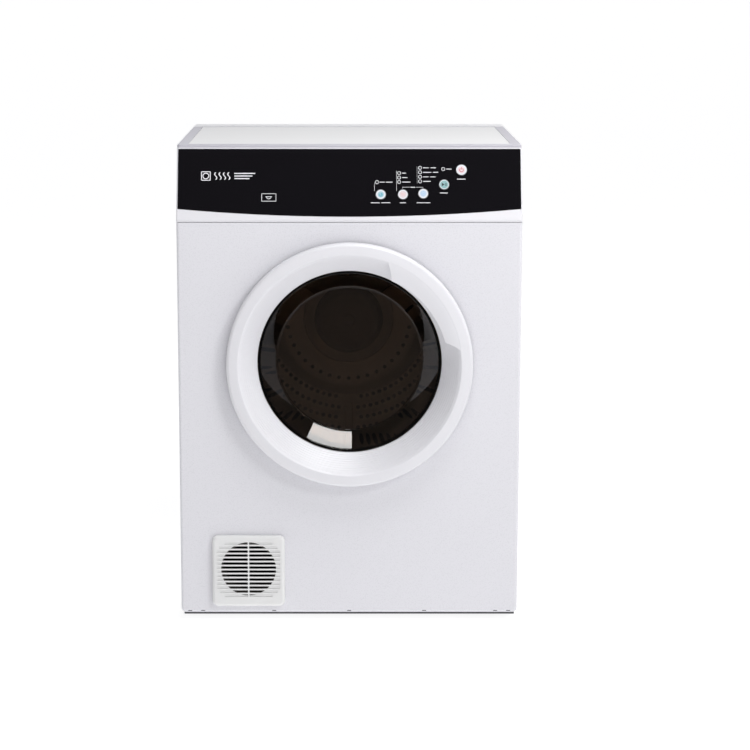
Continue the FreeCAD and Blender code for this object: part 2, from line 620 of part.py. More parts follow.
def loop_face(circles, y):
    """The outline of a belt stretched round (x, z, radius) circles listed clockwise."""
    starts, ends, middles = [], [], []
    count = len(circles)
    for index in range(count):
        x0, z0, r0 = circles[index]
        x1, z1, r1 = circles[(index + 1) % count]
        distance = math.hypot(x1 - x0, z1 - z0)
        heading = math.atan2(z1 - z0, x1 - x0)
        normal = heading + math.pi / 2 + math.asin((r1 - r0) / distance)
        ends.append((normal, Vector(x0 + r0 * math.cos(normal), y, z0 + r0 * math.sin(normal))))
        starts.append((normal, Vector(x1 + r1 * math.cos(normal), y, z1 + r1 * math.sin(normal))))
    edges = []
    for index in range(count):
        x, z, r = circles[index]
        enter, enter_point = starts[index - 1]
        leave, leave_point = ends[index]
        while leave > enter:
            leave -= 2 * math.pi
        middle = (enter + leave) / 2
        via = Vector(x + r * math.cos(middle), y, z + r * math.sin(middle))
        edges.append(Part.Arc(enter_point, via, leave_point).toShape())
        edges.append(Part.makeLine(leave_point, starts[index][1]))
    return Part.Face(Part.Wire(edges))


def belt(circles, y, width):
    """A flat belt of the given width round the circles, clear of each by BELT_GAP."""
    inner = [(x, z, r + BELT_GAP) for x, z, r in circles]
    outer = [(x, z, r + BELT_GAP + BELT) for x, z, r in circles]
    reach = Vector(0, width, 0)
    return loop_face(outer, y).extrude(reach).cut(loop_face(inner, y).extrude(reach))


def drum_belt():
    drum = (0, DRUM_Z, DRUM_RADIUS)
    motor = (MOTOR_X, MOTOR_Z, DRUM_PULLEY_RADIUS)
    idler = (IDLER_X, IDLER_Z, IDLER_RADIUS)
    return belt([drum, motor, idler], BELT_Y, BELT_WIDTH)


def fan_belt():
    fan = (0, DRUM_Z, FAN_PULLEY_RADIUS)
    motor = (MOTOR_X, MOTOR_Z, MOTOR_FAN_PULLEY_RADIUS)
    return belt([fan, motor], 523.5, 6.0)


def idler_arm():
    """Tension arm: a pivot pin in the base, a plate, and an axle for the idler wheel."""
    start = Vector(IDLER_PIVOT_X, 0, IDLER_PIVOT_Z)
    end = Vector(IDLER_X, 0, IDLER_Z)
    length = (end - start).Length
    plate = box(0, length, 313, 316.5, -7, 7)
    plate.rotate(Vector(0, 0, 0), AXIS_Y, -math.degrees(math.atan2(end.z - start.z, end.x - start.x)))
    plate.translate(start)
    ends = [rod(9, start.x, start.z, 313, 316.5), rod(9, end.x, end.z, 313, 316.5)]
    pin = rod(6, start.x, start.z, 313, 330)
    axle = rod(4, end.x, end.z, 294, 314)
    return joined(plate, pin, axle, *ends)


def idler_wheel():
    rim = tube(4 + RUNNING_GAP, IDLER_RADIUS, IDLER_X, IDLER_Z, 297, 311)
    hollow = tube(8, 16, IDLER_X, IDLER_Z, 295, 301)
    return rim.cut(hollow)


def idler_spring():
    """Torsion spring wound round the arm's pivot pin."""
    wire = 0.7
    turns = [Part.makeTorus(8.4, wire, Vector(IDLER_PIVOT_X, 317.6 + 1.2 * turn, IDLER_PIVOT_Z), AXIS_Y)
             for turn in range(3)]
    leg = Part.makeCylinder(wire, 16, Vector(IDLER_PIVOT_X + 8.4, 317.6, IDLER_PIVOT_Z), Vector(0, 0, 1))
    return joined(*turns, leg)


# ---------------------------------------------------------------- door
def door_ring():
    """Outer door moulding: a rounded rim, then a stepped dish that falls in to the glass."""
    t = DOOR_SKIN
    rim_back = -4.5
    outline = [(DOOR_RADIUS, rim_back), (DOOR_RADIUS, -12), (DOOR_RADIUS - 1.2, -16),
               (DOOR_RADIUS - 4, -19.4), (DOOR_RADIUS - 8, -21.6), (CREASE_RADIUS + 3, -DOOR_STAND_OFF),
               (CREASE_RADIUS, -DOOR_STAND_OFF + 0.6)]
    steps = 9
    step_radius = (CREASE_RADIUS - GLASS_RIM_RADIUS - 1.5) / steps
    step_depth = (GLASS_RIM_Y - 3 + DOOR_STAND_OFF - 0.6) / steps
    for index in range(steps):
        radius = CREASE_RADIUS - step_radius * index
        y = -DOOR_STAND_OFF + 0.6 + step_depth * index
        outline.append((radius - 0.8, y + step_depth - 0.8))
        outline.append((radius - step_radius, y + step_depth))
    outline += [(GLASS_RIM_RADIUS + 1.5, GLASS_RIM_Y - 0.2), (GLASS_RIM_RADIUS + 4.5, GLASS_RIM_Y - 0.2),
                (CREASE_RADIUS + 2.4, -DOOR_STAND_OFF + 2.6), (DOOR_RADIUS - 8.6, -21.6 + t),
                (DOOR_RADIUS - 5, -17.6), (DOOR_RADIUS - t, -12), (DOOR_RADIUS - t, rim_back)]
    ring = turned(outline, 0, DOOR_Z)
    hinge_notch = box(-216, -200, -15.8, 0, DOOR_Z - HINGE_NOTCH_HALF, DOOR_Z + HINGE_NOTCH_HALF)
    return ring.cut(hinge_notch)


def door_handle():
    """Grip plate that bridges the dish, upper right; the fingers go in behind its inner edge."""
    crease_y = -DOOR_STAND_OFF + 0.8
    outer = CREASE_RADIUS - 0.2
    inner = GRIP_INNER_RADIUS
    plate = [(outer, crease_y), (inner + 3, GRIP_INNER_Y - 0.8), (inner, GRIP_INNER_Y + 0.8),
             (inner, GRIP_INNER_Y + 2.6), (inner + 3, GRIP_INNER_Y + 3.0), (outer, crease_y + 3.0)]
    end_wall = [(outer, crease_y), (inner, GRIP_INNER_Y), (inner, 14.0), (outer, 0.0)]
    grip = turned(plate, 0, DOOR_Z, HANDLE_START, HANDLE_END - HANDLE_START)
    ends = [turned(end_wall, 0, DOOR_Z, start, 1.2) for start in (HANDLE_START, HANDLE_END - 1.2)]
    return joined(grip, *ends).cut(door_ring_space())


def door_ring_space():
    """The ring with its dish filled from behind, so that the grip stops at the dish's surface."""
    behind = turned([(CREASE_RADIUS + 2, -DOOR_STAND_OFF + 3), (GLASS_RIM_RADIUS + 3, GLASS_RIM_Y),
                     (DOOR_RADIUS, GLASS_RIM_Y)], 0, DOOR_Z)
    return door_ring().fuse(behind)


def door_glass():
    """Deep bowl of dark glass with a flat window at its bottom."""
    r, w = GLASS_RIM_RADIUS, WINDOW_RADIUS
    y0, y1 = GLASS_RIM_Y, WINDOW_Y
    outline = [(r + 8, y0), (r - 3, y0), (r - 3 - 0.6, y0 + 0.8), (w + 3, y1 - 2.4), (w, y1), (0, y1),
               (0, y1 + GLASS), (w + 1.5, y1 + GLASS), (w + 5.8, y1 + 0.2), (r, y0 + GLASS + 1.2),
               (r + 1, y0 + GLASS), (r + 8, y0 + GLASS)]
    return turned(outline, 0, DOOR_Z)


def door_inner_frame():
    """Ring behind the glass that clamps it and closes the back of the door."""
    tube_out, tube_in = 180.0, 177.5
    outline = [(200, -8), (200, -5.5), (tube_out, -5.5), (tube_out, 30), (GLASS_RIM_RADIUS + 2, 30),
               (GLASS_RIM_RADIUS + 2, 26.5), (tube_in, 26.5), (tube_in, 1.0), (183.0, -8)]
    frame = turned(outline, 0, DOOR_Z)
    leaf_recess = box(-201, -190, -8.4, -5, DOOR_Z - HINGE_NOTCH_HALF, DOOR_Z + HINGE_NOTCH_HALF)
    return frame.cut(leaf_recess)


def door_gasket():
    """Soft ring that seals the door against the front bulkhead."""
    outline = [(172, 30), (186, 30), (186, 33), (183, 36), (177, 36), (172, 33)]
    return turned(outline, 0, DOOR_Z)


def door_hinge_arm():
    """Door half of the hinge: a leaf screwed under the rim and one long barrel."""
    barrel = rod_up(KNUCKLE_RADIUS, HINGE_X, HINGE_Y, DOOR_Z - BARREL_HALF, DOOR_Z + BARREL_HALF)
    leaf = box(HINGE_X, -192.5, -10.5, -8.5, DOOR_Z - BARREL_HALF, DOOR_Z + BARREL_HALF)
    hinge = joined(barrel, leaf)
    return hinge.cut(rod_up(HINGE_PIN_RADIUS + RUNNING_GAP, HINGE_X, HINGE_Y, DOOR_Z - 60, DOOR_Z + 60))


def door_hinge_bracket():
    """Fixed half of the hinge: a plate behind the front panel, two arms and the pin."""
    plate = box(-240, -196.5, SHEET + 0.1, 4, DOOR_Z - 60, DOOR_Z + 60)
    arms = []
    for side in (-1, 1):
        z = DOOR_Z + side * KNUCKLE_OFFSET
        low = z - KNUCKLE_HALF
        corners = [(HINGE_X - 2.4, HINGE_Y + 2.6), (HINGE_X + 3.0, HINGE_Y - 1.8), (-197, 2), (-204, 2)]
        points = [Vector(x, y, low) for x, y in corners]
        arm = Part.Face(Part.makePolygon(points + points[:1]))
        arms.append(arm.extrude(Vector(0, 0, 2 * KNUCKLE_HALF)))
        arms.append(rod_up(KNUCKLE_RADIUS, HINGE_X, HINGE_Y, low, z + KNUCKLE_HALF))
    pin_half = KNUCKLE_OFFSET + KNUCKLE_HALF
    pin = rod_up(HINGE_PIN_RADIUS, HINGE_X, HINGE_Y, DOOR_Z - pin_half, DOOR_Z + pin_half)
    return joined(plate, pin, *arms)


def door_striker():
    """Hook on the door that the catch holds."""
    base = box(186, 199.5, -5.4, -3.4, DOOR_Z - 10, DOOR_Z + 10)
    blade = box(199.5, 202.0, -5.4, 12, DOOR_Z - 7, DOOR_Z + 7)
    barb = box(197.8, 202.0, 8.5, 12, DOOR_Z - 7, DOOR_Z + 7)
    return joined(base, blade, barb)


def door_catch():
    """Sprung catch behind the front panel, open in front for the striker."""
    body = box(194.6, 216, SHEET + 0.1, 24, DOOR_Z - 20, DOOR_Z + 20)
    slot = box(195.5, 206.5, 0, 16, DOOR_Z - 10.5, DOOR_Z + 10.5)
    return body.cut(slot)


def door_switch():
    body = box(190.5, 206, SHEET + 3, 26, DOOR_Z - 60, DOOR_Z - 40)
    plunger = rod(2.6, 193.4, DOOR_Z - 50, -5.0, 6)
    return joined(body, plunger)


# ---------------------------------------------------------------- vent grille, gland and feet
def vent_grille():
    """Square bevelled grille with level slots, a centre bar and a spigot that fits the collar."""
    frame = rounded_square(GRILLE_HALF, 12, -GRILLE_PROUD, -0.3, PORT_X, PORT_Z)
    front_edges = [e for e in frame.Edges if e.BoundBox.YMax < -GRILLE_PROUD + 0.01]
    frame = frame.makeChamfer(5.0, front_edges)
    hollow = rounded_square(GRILLE_HALF - 5, 8, -GRILLE_PROUD + 5.2, 1, PORT_X, PORT_Z)
    cover = frame.cut(hollow)
    cutters = []
    for index in range(SLOT_COUNT):
        z = PORT_Z + (index - (SLOT_COUNT - 1) / 2) * SLOT_PITCH
        from_end = min(index, SLOT_COUNT - 1 - index)
        half = {0: 42.0, 1: 51.0}.get(from_end, 55.5)
        for side in (-1, 1):
            near, far = sorted((PORT_X + side * 1.35, PORT_X + side * half))
            cutters.append(box(near, far, -20, 0, z - SLOT_HEIGHT / 2, z + SLOT_HEIGHT / 2))
    cover = cover.cut(cutters)
    spigot = tube(GRILLE_SEAT_RADIUS - 1.6, GRILLE_SEAT_RADIUS - 0.4, PORT_X, PORT_Z, -GRILLE_PROUD + 5.0, 9)
    return joined(cover, spigot)


def cable_gland():
    """Strain relief bush where the mains cable would leave the back panel."""
    body = rod(10, 225, 150, BACK_PANEL_Y - 6, CABINET_DEPTH - 0.2)
    flange = rod(13, 225, 150, BACK_PANEL_Y + 1.5, CABINET_DEPTH - 0.6)
    return joined(body, flange).cut(rod(4.5, 225, 150, 500, 560))


def foot(x, y):
    """Levelling foot: a pad with a flat top and a threaded stem in the base."""
    pad = rod_up(17, x, y, 0, 9)
    pad = pad.makeFillet(1.5, [e for e in pad.Edges if e.BoundBox.ZMin > 8.9])
    nut = rod_up(8, x, y, 9, 13)
    stem = rod_up(4.0, x, y, 9, 40)
    return joined(pad, nut, stem)


# ---------------------------------------------------------------- the whole machine
def build():
    pieces = {
        "base_pan": base_pan(), "left_side_panel": side_panel(-1), "right_side_panel": side_panel(1),
        "back_panel": back_panel(), "front_panel": front_panel(), "top_frame": top_frame(),
        "top_panel": top_panel(), "casing_screws": casing_screws(),
        "control_housing": control_housing(), "control_fascia": control_fascia(),
        "indicator_lenses": indicator_lenses(), "control_board": control_board(),
        "front_bulkhead": front_bulkhead(), "drum_glide": drum_glide(), "rear_bulkhead": rear_bulkhead(),
        "drum_shell": drum_shell(), "drum_rear_wall": drum_rear_wall(), "drum_lifters": drum_lifters(),
        "drum_spindle": drum_spindle(), "rear_bearing": rear_bearing(),
        "filter_cover": filter_cover(), "filter_screen": filter_screen(),
        "fan_wheel": fan_wheel(), "fan_pulley": fan_pulley(), "fan_housing": fan_housing(),
        "exhaust_duct": exhaust_duct(), "exhaust_collar": exhaust_collar(),
        "heater_box": heater_box(), "heater_element": heater_element(), "thermostats": thermostats(),
        "motor_body": motor_body(), "motor_shaft": motor_shaft(), "motor_pulleys": motor_pulleys(),
        "run_capacitor": run_capacitor(), "drum_belt": drum_belt(), "fan_belt": fan_belt(),
        "idler_arm": idler_arm(), "idler_wheel": idler_wheel(), "idler_spring": idler_spring(),
        "door_ring": door_ring(), "door_handle": door_handle(), "door_glass": door_glass(),
        "door_inner_frame": door_inner_frame(), "door_gasket": door_gasket(),
        "door_hinge_arm": door_hinge_arm(), "door_hinge_bracket": door_hinge_bracket(),
        "door_striker": door_striker(), "door_catch": door_catch(), "door_switch": door_switch(),
        "vent_grille": vent_grille(), "cable_gland": cable_gland(),
    }
    for name in BUTTONS:
        pieces[name] = button(name)
    for side, word in ((-1, "left"), (1, "right")):
        for y, place in zip(FOOT_Y, ("front", "rear")):
            pieces["foot_" + place + "_" + word] = foot(side * FOOT_X, y)
    return pieces


os.makedirs("parts", exist_ok=True)
for node, solid in build().items():
    print(node, round(solid.Volume / 1000, 2), "cm3", len(solid.Solids), "solids", solid.isValid())
    save(node, solid)
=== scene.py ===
"""Looks of a front-loading vented clothes dryer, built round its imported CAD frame."""
import math

import bmesh
import bpy
from mathutils import Matrix, Vector


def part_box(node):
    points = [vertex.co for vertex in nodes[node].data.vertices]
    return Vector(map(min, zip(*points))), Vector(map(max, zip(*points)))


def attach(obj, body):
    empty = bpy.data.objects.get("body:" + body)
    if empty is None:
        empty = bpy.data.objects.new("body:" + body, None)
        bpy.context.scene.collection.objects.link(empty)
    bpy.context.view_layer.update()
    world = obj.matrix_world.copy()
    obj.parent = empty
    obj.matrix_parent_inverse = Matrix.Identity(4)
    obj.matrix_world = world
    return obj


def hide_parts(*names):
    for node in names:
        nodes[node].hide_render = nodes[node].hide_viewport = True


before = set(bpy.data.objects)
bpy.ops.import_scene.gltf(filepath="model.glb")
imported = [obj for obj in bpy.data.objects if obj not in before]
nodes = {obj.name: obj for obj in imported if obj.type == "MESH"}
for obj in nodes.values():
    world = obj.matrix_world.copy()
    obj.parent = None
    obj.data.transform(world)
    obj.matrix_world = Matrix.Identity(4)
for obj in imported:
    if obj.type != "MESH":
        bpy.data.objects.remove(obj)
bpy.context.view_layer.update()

MM = 0.001

# ------------------------------------------------------------------ camera and studio
# A long lens a little above the worktop, looking slightly down, in a white studio with one
# softbox overhead to the right and a fill in front.  A strip low in the drum stands for the
# light that its floor throws back.
front_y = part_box("front_panel")[0].y
camera_data = bpy.data.cameras.new("camera")
camera_data.lens = 105.3
camera_data.sensor_width = 36.0
camera_data.shift_x = 0.0427
camera = bpy.data.objects.new("camera", camera_data)
camera.location = (-0.011, front_y - 3.749, 1.1445)
camera.rotation_euler = (math.radians(90 - 10.585), 0, 0)
bpy.context.scene.collection.objects.link(camera)
bpy.context.scene.camera = camera
bpy.context.scene.view_settings.view_transform = "Standard"

# The sky lights evenly and shows white behind the floor.  Mirrored in a glossy face it is dark
# in front, where the room is unlit, and white behind and below, where the backdrop is.
LIT_SKY = 0.28
UNLIT_ROOM = 0.06
WHITE_BACKDROP = 0.9
world = bpy.data.worlds.new("studio")
bpy.context.scene.world = world
world.use_nodes = True
sky = world.node_tree
backdrop = sky.nodes["Background"]
backdrop.inputs["Color"].default_value = (0.97, 0.97, 1.0, 1)
ray = sky.nodes.new("ShaderNodeLightPath")
direction = sky.nodes.new("ShaderNodeTexCoord")
axes = sky.nodes.new("ShaderNodeSeparateXYZ")
sky.links.new(direction.outputs["Generated"], axes.inputs["Vector"])


def mirror_glow(axis, unlit_at, white_at):
    """How bright the surroundings look in a mirror, going from unlit to white along one axis."""
    glow = sky.nodes.new("ShaderNodeMapRange")
    glow.inputs["From Min"].default_value = unlit_at
    glow.inputs["From Max"].default_value = white_at
    glow.inputs["To Min"].default_value = UNLIT_ROOM
    glow.inputs["To Max"].default_value = WHITE_BACKDROP
    sky.links.new(axes.outputs[axis], glow.inputs["Value"])
    return glow.outputs["Result"]


def brighter(one, other):
    """The larger of two values."""
    most = sky.nodes.new("ShaderNodeMath")
    most.operation = "MAXIMUM"
    sky.links.new(one, most.inputs[0])
    sky.links.new(other, most.inputs[1])
    return most.outputs["Value"]


glossy = sky.nodes.new("ShaderNodeMix")
glossy.inputs["A"].default_value = LIT_SKY
sky.links.new(ray.outputs["Is Glossy Ray"], glossy.inputs["Factor"])
behind_or_below = brighter(mirror_glow("Y", -0.05, 0.35), mirror_glow("Z", -0.35, -0.6))
sky.links.new(behind_or_below, glossy.inputs["B"])
strength = brighter(ray.outputs["Is Camera Ray"], glossy.outputs["Result"])
sky.links.new(strength, backdrop.inputs["Strength"])


def softbox(name, place, target, width, height, watts, mirrored=False, lights=True):
    """A rectangular lamp, either to light the object or to be mirrored in its gloss."""
    lamp = bpy.data.lights.new(name, "AREA")
    lamp.shape = "RECTANGLE"
    lamp.size = width
    lamp.size_y = height
    lamp.energy = watts
    box = bpy.data.objects.new(name, lamp)
    box.location = place
    box.rotation_euler = (Vector(target) - Vector(place)).to_track_quat("-Z", "Y").to_euler()
    box.visible_glossy = mirrored
    box.visible_diffuse = lights
    bpy.context.scene.collection.objects.link(box)


softbox("overhead_softbox", (0.65, -0.86, 2.5), (0.65, -0.85, 0), 1.44, 0.75, 30)
softbox("overhead_mirror", (0.67, -0.86, 2.49), (0.67, -0.85, 0), 1.46, 0.75, 43, mirrored=True,
        lights=False)
softbox("right_fill", (2.1, -2.3, 2.4), (0, -0.2, 0.4), 0.8, 0.8, 30)
softbox("drum_lamp", (0.0, -0.13, 0.262), (0, 0.19, 0.42), 0.25, 0.05, 0.12)

# The floor is a lit acrylic table, so it stays white and takes only a faint contact shadow.
floor_mesh = bpy.data.meshes.new("studio_floor")
floor_mesh.from_pydata([(-90, -90, 0), (90, -90, 0), (90, 90, 0), (-90, 90, 0)], [], [(0, 1, 2, 3)])
floor = bpy.data.objects.new("studio_floor", floor_mesh)
bpy.context.scene.collection.objects.link(floor)
floor.visible_glossy = False
acrylic = bpy.data.materials.new("lit_acrylic")
acrylic.use_nodes = True
acrylic_shader = acrylic.node_tree.nodes["Principled BSDF"]
acrylic_shader.inputs["Base Color"].default_value = (0.5, 0.5, 0.5, 1)
acrylic_shader.inputs["Roughness"].default_value = 0.9
acrylic_shader.inputs["Specular IOR Level"].default_value = 0.1
acrylic_shader.inputs["Emission Color"].default_value = (1, 1, 1, 1)
acrylic_shader.inputs["Emission Strength"].default_value = 0.85
floor_mesh.materials.append(acrylic)

# ------------------------------------------------------------------ base pan and levelling feet
# The floor of the machine is a ribbed grey polypropylene moulding.  Four hard-rubber feet with
# steel stems screw up into it.


def finish(name, colour, roughness, metallic=0.0, mottle=0.03, bump=0.0, grain=300.0, stretch=(1, 1, 1),
           coat=0.0):
    """A finish with a little colour and gloss variation and a fine surface texture, in metres."""
    made = bpy.data.materials.new(name)
    made.use_nodes = True
    tree = made.node_tree
    shader = tree.nodes["Principled BSDF"]
    place = tree.nodes.new("ShaderNodeTexCoord")
    mapping = tree.nodes.new("ShaderNodeMapping")
    mapping.inputs["Scale"].default_value = stretch
    noise = tree.nodes.new("ShaderNodeTexNoise")
    noise.inputs["Scale"].default_value = grain
    noise.inputs["Detail"].default_value = 3.0
    tree.links.new(place.outputs["Object"], mapping.inputs["Vector"])
    tree.links.new(mapping.outputs["Vector"], noise.inputs["Vector"])
    ramp = tree.nodes.new("ShaderNodeValToRGB")
    low, high = ramp.color_ramp.elements
    low.position = 0.3
    high.position = 0.7
    low.color = [channel * (1 - mottle) for channel in colour] + [1]
    high.color = [min(1, channel * (1 + mottle)) for channel in colour] + [1]
    tree.links.new(noise.outputs["Fac"], ramp.inputs["Fac"])
    tree.links.new(ramp.outputs["Color"], shader.inputs["Base Color"])
    gloss = tree.nodes.new("ShaderNodeMapRange")
    gloss.inputs["To Min"].default_value = roughness * 0.85
    gloss.inputs["To Max"].default_value = min(1, roughness * 1.15)
    tree.links.new(noise.outputs["Fac"], gloss.inputs["Value"])
    tree.links.new(gloss.outputs["Result"], shader.inputs["Roughness"])
    if bump:
        relief = tree.nodes.new("ShaderNodeBump")
        relief.inputs["Strength"].default_value = 0.5
        relief.inputs["Distance"].default_value = bump * MM
        tree.links.new(noise.outputs["Fac"], relief.inputs["Height"])
        tree.links.new(relief.outputs["Normal"], shader.inputs["Normal"])
    shader.inputs["Metallic"].default_value = metallic
    shader.inputs["Coat Weight"].default_value = coat
    shader.inputs["Coat Roughness"].default_value = 0.08
    return made


def paint(material, *names):
    """Give CAD pieces a finish."""
    for name in names:
        for held in nodes[name].material_slots:
            held.material = material


base_plastic = finish("base_polypropylene", (0.10, 0.10, 0.105), 0.5, bump=0.05, grain=900)
foot_rubber = finish("foot_rubber", (0.03, 0.03, 0.032), 0.7, bump=0.08, grain=700)
paint(base_plastic, "base_pan")
paint(foot_rubber, "foot_front_left", "foot_front_right", "foot_rear_left", "foot_rear_right")

# ------------------------------------------------------------------ cabinet wrapper and back
# Side panels are pressed steel in white enamel; the back is bare galvanised sheet with a fine
# spangle, held by pan-head screws.  The front bulkhead is coloured near-black as painted shade.
enamel = finish("white_enamel", (0.78, 0.775, 0.815), 0.28, mottle=0.006, bump=0.02, grain=500, coat=0.25)
galvanised = finish("galvanised_sheet", (0.55, 0.56, 0.58), 0.38, metallic=0.9, mottle=0.10, bump=0.01,
                    grain=60)
screw_steel = finish("screw_steel", (0.5, 0.5, 0.52), 0.3, metallic=1.0, grain=400)
black_plastic = finish("black_plastic", (0.02, 0.02, 0.022), 0.45, bump=0.04, grain=900)
paint(enamel, "left_side_panel", "right_side_panel", "front_panel")
# Painted shade: this near-black stands for the dark round the drum's mouth behind the door glass.
bulkhead_painted_shade = finish("bulkhead_painted_shade", (0.05, 0.048, 0.045), 0.6, metallic=0.2, grain=200)
paint(galvanised, "back_panel", "door_hinge_bracket")
paint(bulkhead_painted_shade, "front_bulkhead")
paint(black_plastic, "rear_bulkhead")
paint(screw_steel, "casing_screws", "door_hinge_arm", "door_striker", "rear_bearing")
paint(black_plastic, "cable_gland")

# ------------------------------------------------------------------ drum
# A rolled stainless drum on a rear spindle, with three plastic lifters.  Its rear wall is a
# flat ring punched with rows of air holes round a raised centre that holds the lint filter.
drum_steel = finish("drum_steel", (0.52, 0.50, 0.47), 0.30, metallic=0.9, mottle=0.05, bump=0.01, grain=40,
                    stretch=(1, 25, 1))
wall_steel = finish("drum_wall_steel", (0.50, 0.45, 0.40), 0.42, metallic=0.55, mottle=0.05, bump=0.02,
                    grain=120)
lifter_plastic = finish("lifter_plastic", (0.30, 0.29, 0.28), 0.4, bump=0.03, grain=800)
# The filter cover is dark plastic; its black also paints the shadow ring that falls beneath the dome.
filter_black_and_painted_shade = finish("filter_black_and_painted_shade", (0.07, 0.06, 0.055), 0.35, bump=0.03, grain=800)
felt = finish("glide_felt", (0.35, 0.28, 0.20), 0.9, mottle=0.15, bump=0.3, grain=1500)
paint(drum_steel, "drum_shell")
paint(lifter_plastic, "drum_lifters")
paint(screw_steel, "drum_spindle")
paint(filter_black_and_painted_shade, "filter_cover")
paint(black_plastic, "filter_screen")
paint(felt, "drum_glide")

drum_low, drum_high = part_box("drum_shell")
drum_z = (drum_low.z + drum_high.z) / 2
wall_low, wall_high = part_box("drum_rear_wall")
ring_back = wall_high.y
plateau_front = wall_low.y
SHEET = 0.8 * MM
FILTER_SEAT = 70 * MM
PLATEAU_FLAT = 129 * MM
PLATEAU_RADIUS = 135 * MM
RECESS_RADIUS = 160 * MM
WALL_RADIUS = 269 * MM
HOLE_RADIUS = 4 * MM


def outlined(name, mesh, material, smooth_below=30):
    """Turn a bmesh into a finished object with smooth faces and crisp edges."""
    bmesh.ops.remove_doubles(mesh, verts=mesh.verts, dist=1e-6)
    bmesh.ops.recalc_face_normals(mesh, faces=mesh.faces)
    data = bpy.data.meshes.new(name)
    mesh.to_mesh(data)
    mesh.free()
    data.shade_smooth()
    data.set_sharp_from_angle(angle=math.radians(smooth_below))
    data.materials.append(material)
    made = bpy.data.objects.new(name, data)
    bpy.context.scene.collection.objects.link(made)
    return made


def turned(name, outline, x, z, material, steps=192, smooth_below=30):
    """Turn a closed outline of (radius, y) points about a front-to-back axis, in metres."""
    mesh = bmesh.new()
    rings = []
    for step in range(steps):
        turn = 2 * math.pi * step / steps
        ring = [mesh.verts.new((x + r * math.sin(turn), y, z + r * math.cos(turn))) for r, y in outline]
        rings.append(ring)
    for here, there in zip(rings, rings[1:] + rings[:1]):
        for index in range(len(outline)):
            after = (index + 1) % len(outline)
            mesh.faces.new((here[index], here[after], there[after], there[index]))
    bmesh.ops.dissolve_degenerate(mesh, dist=1e-7, edges=mesh.edges)
    return outlined(name, mesh, material, smooth_below)


def node(tree, kind, operation=None, **inputs):
    """Add a node to a geometry tree and set or link its inputs."""
    made = tree.nodes.new(kind)
    if operation:
        made.operation = operation
    for name, value in inputs.items():
        socket = made.inputs[name.replace("_", " ")]
        if isinstance(value, bpy.types.NodeSocket):
            tree.links.new(value, socket)
        else:
            socket.default_value = value
    return made


def punched_ring(name, inner, outer, rows, rib_half, y):
    """A flat ring of drum sheet with rows of round holes, which leave room for four ribs.

    rows lists (radius, count); rib_half is half the width kept free across each rib.
    """
    tree = bpy.data.node_groups.new(name, "GeometryNodeTree")
    tree.interface.new_socket("Geometry", in_out="INPUT", socket_type="NodeSocketGeometry")
    for label, value in (("Inner radius", inner), ("Outer radius", outer), ("Hole radius", HOLE_RADIUS),
                         ("Sheet", SHEET)):
        socket = tree.interface.new_socket(label, in_out="INPUT", socket_type="NodeSocketFloat")
        socket.default_value = value
    tree.interface.new_socket("Geometry", in_out="OUTPUT", socket_type="NodeSocketGeometry")
    given = tree.nodes.new("NodeGroupInput")
    edge_in = node(tree, "GeometryNodeCurvePrimitiveCircle", Resolution=128,
                   Radius=given.outputs["Inner radius"])
    edge_out = node(tree, "GeometryNodeCurvePrimitiveCircle", Resolution=160,
                    Radius=given.outputs["Outer radius"])
    hole = node(tree, "GeometryNodeCurvePrimitiveCircle", Resolution=12, Radius=given.outputs["Hole radius"])
    outlines = tree.nodes.new("GeometryNodeJoinGeometry")
    for part in (edge_in, edge_out):
        tree.links.new(part.outputs["Curve"], outlines.inputs["Geometry"])
    for radius, count in rows:
        circle = node(tree, "GeometryNodeMeshCircle", Vertices=count, Radius=radius)
        place = tree.nodes.new("GeometryNodeInputPosition")
        split = node(tree, "ShaderNodeSeparateXYZ", Vector=place.outputs["Position"])
        product = node(tree, "ShaderNodeMath", "MULTIPLY", Value=split.outputs["X"])
        tree.links.new(split.outputs["Y"], product.inputs[1])
        size = node(tree, "ShaderNodeMath", "ABSOLUTE", Value=product.outputs[0])
        near_rib = node(tree, "FunctionNodeCompare", "LESS_THAN", A=size.outputs[0], B=rib_half * radius)
        kept = node(tree, "GeometryNodeDeleteGeometry", Geometry=circle.outputs["Mesh"],
                    Selection=near_rib.outputs["Result"])
        copies = node(tree, "GeometryNodeInstanceOnPoints", Points=kept.outputs["Geometry"],
                      Instance=hole.outputs["Curve"])
        real = node(tree, "GeometryNodeRealizeInstances", Geometry=copies.outputs["Instances"])
        tree.links.new(real.outputs["Geometry"], outlines.inputs["Geometry"])
    sheet = node(tree, "GeometryNodeFillCurve", Curve=outlines.outputs["Geometry"])
    extrude = node(tree, "GeometryNodeExtrudeMesh", Mesh=sheet.outputs["Mesh"],
                   Offset_Scale=given.outputs["Sheet"])
    extrude.inputs["Individual"].default_value = False
    back = node(tree, "GeometryNodeFlipFaces", Mesh=sheet.outputs["Mesh"])
    both = tree.nodes.new("GeometryNodeJoinGeometry")
    tree.links.new(extrude.outputs["Mesh"], both.inputs["Geometry"])
    tree.links.new(back.outputs["Mesh"], both.inputs["Geometry"])
    closed = node(tree, "GeometryNodeMergeByDistance", Geometry=both.outputs["Geometry"], Distance=1e-6)
    real = node(tree, "GeometryNodeRealizeInstances", Geometry=closed.outputs["Geometry"])
    coated = node(tree, "GeometryNodeSetMaterial", Geometry=real.outputs["Geometry"], Material=wall_steel)
    result = tree.nodes.new("NodeGroupOutput")
    tree.links.new(coated.outputs["Geometry"], result.inputs["Geometry"])
    seed = bpy.data.objects.new(name + "_maker", bpy.data.meshes.new(name + "_seed"))
    bpy.context.scene.collection.objects.link(seed)
    modifier = seed.modifiers.new("punching", "NODES")
    modifier.node_group = tree
    ready = seed.evaluated_get(bpy.context.evaluated_depsgraph_get())
    data = bpy.data.meshes.new_from_object(ready)
    bpy.data.objects.remove(seed)
    data.transform(Matrix.Translation((0, y, drum_z)) @ Matrix.Rotation(math.radians(90), 4, "X"))
    made = bpy.data.objects.new(name, data)
    bpy.context.scene.collection.objects.link(made)
    return made


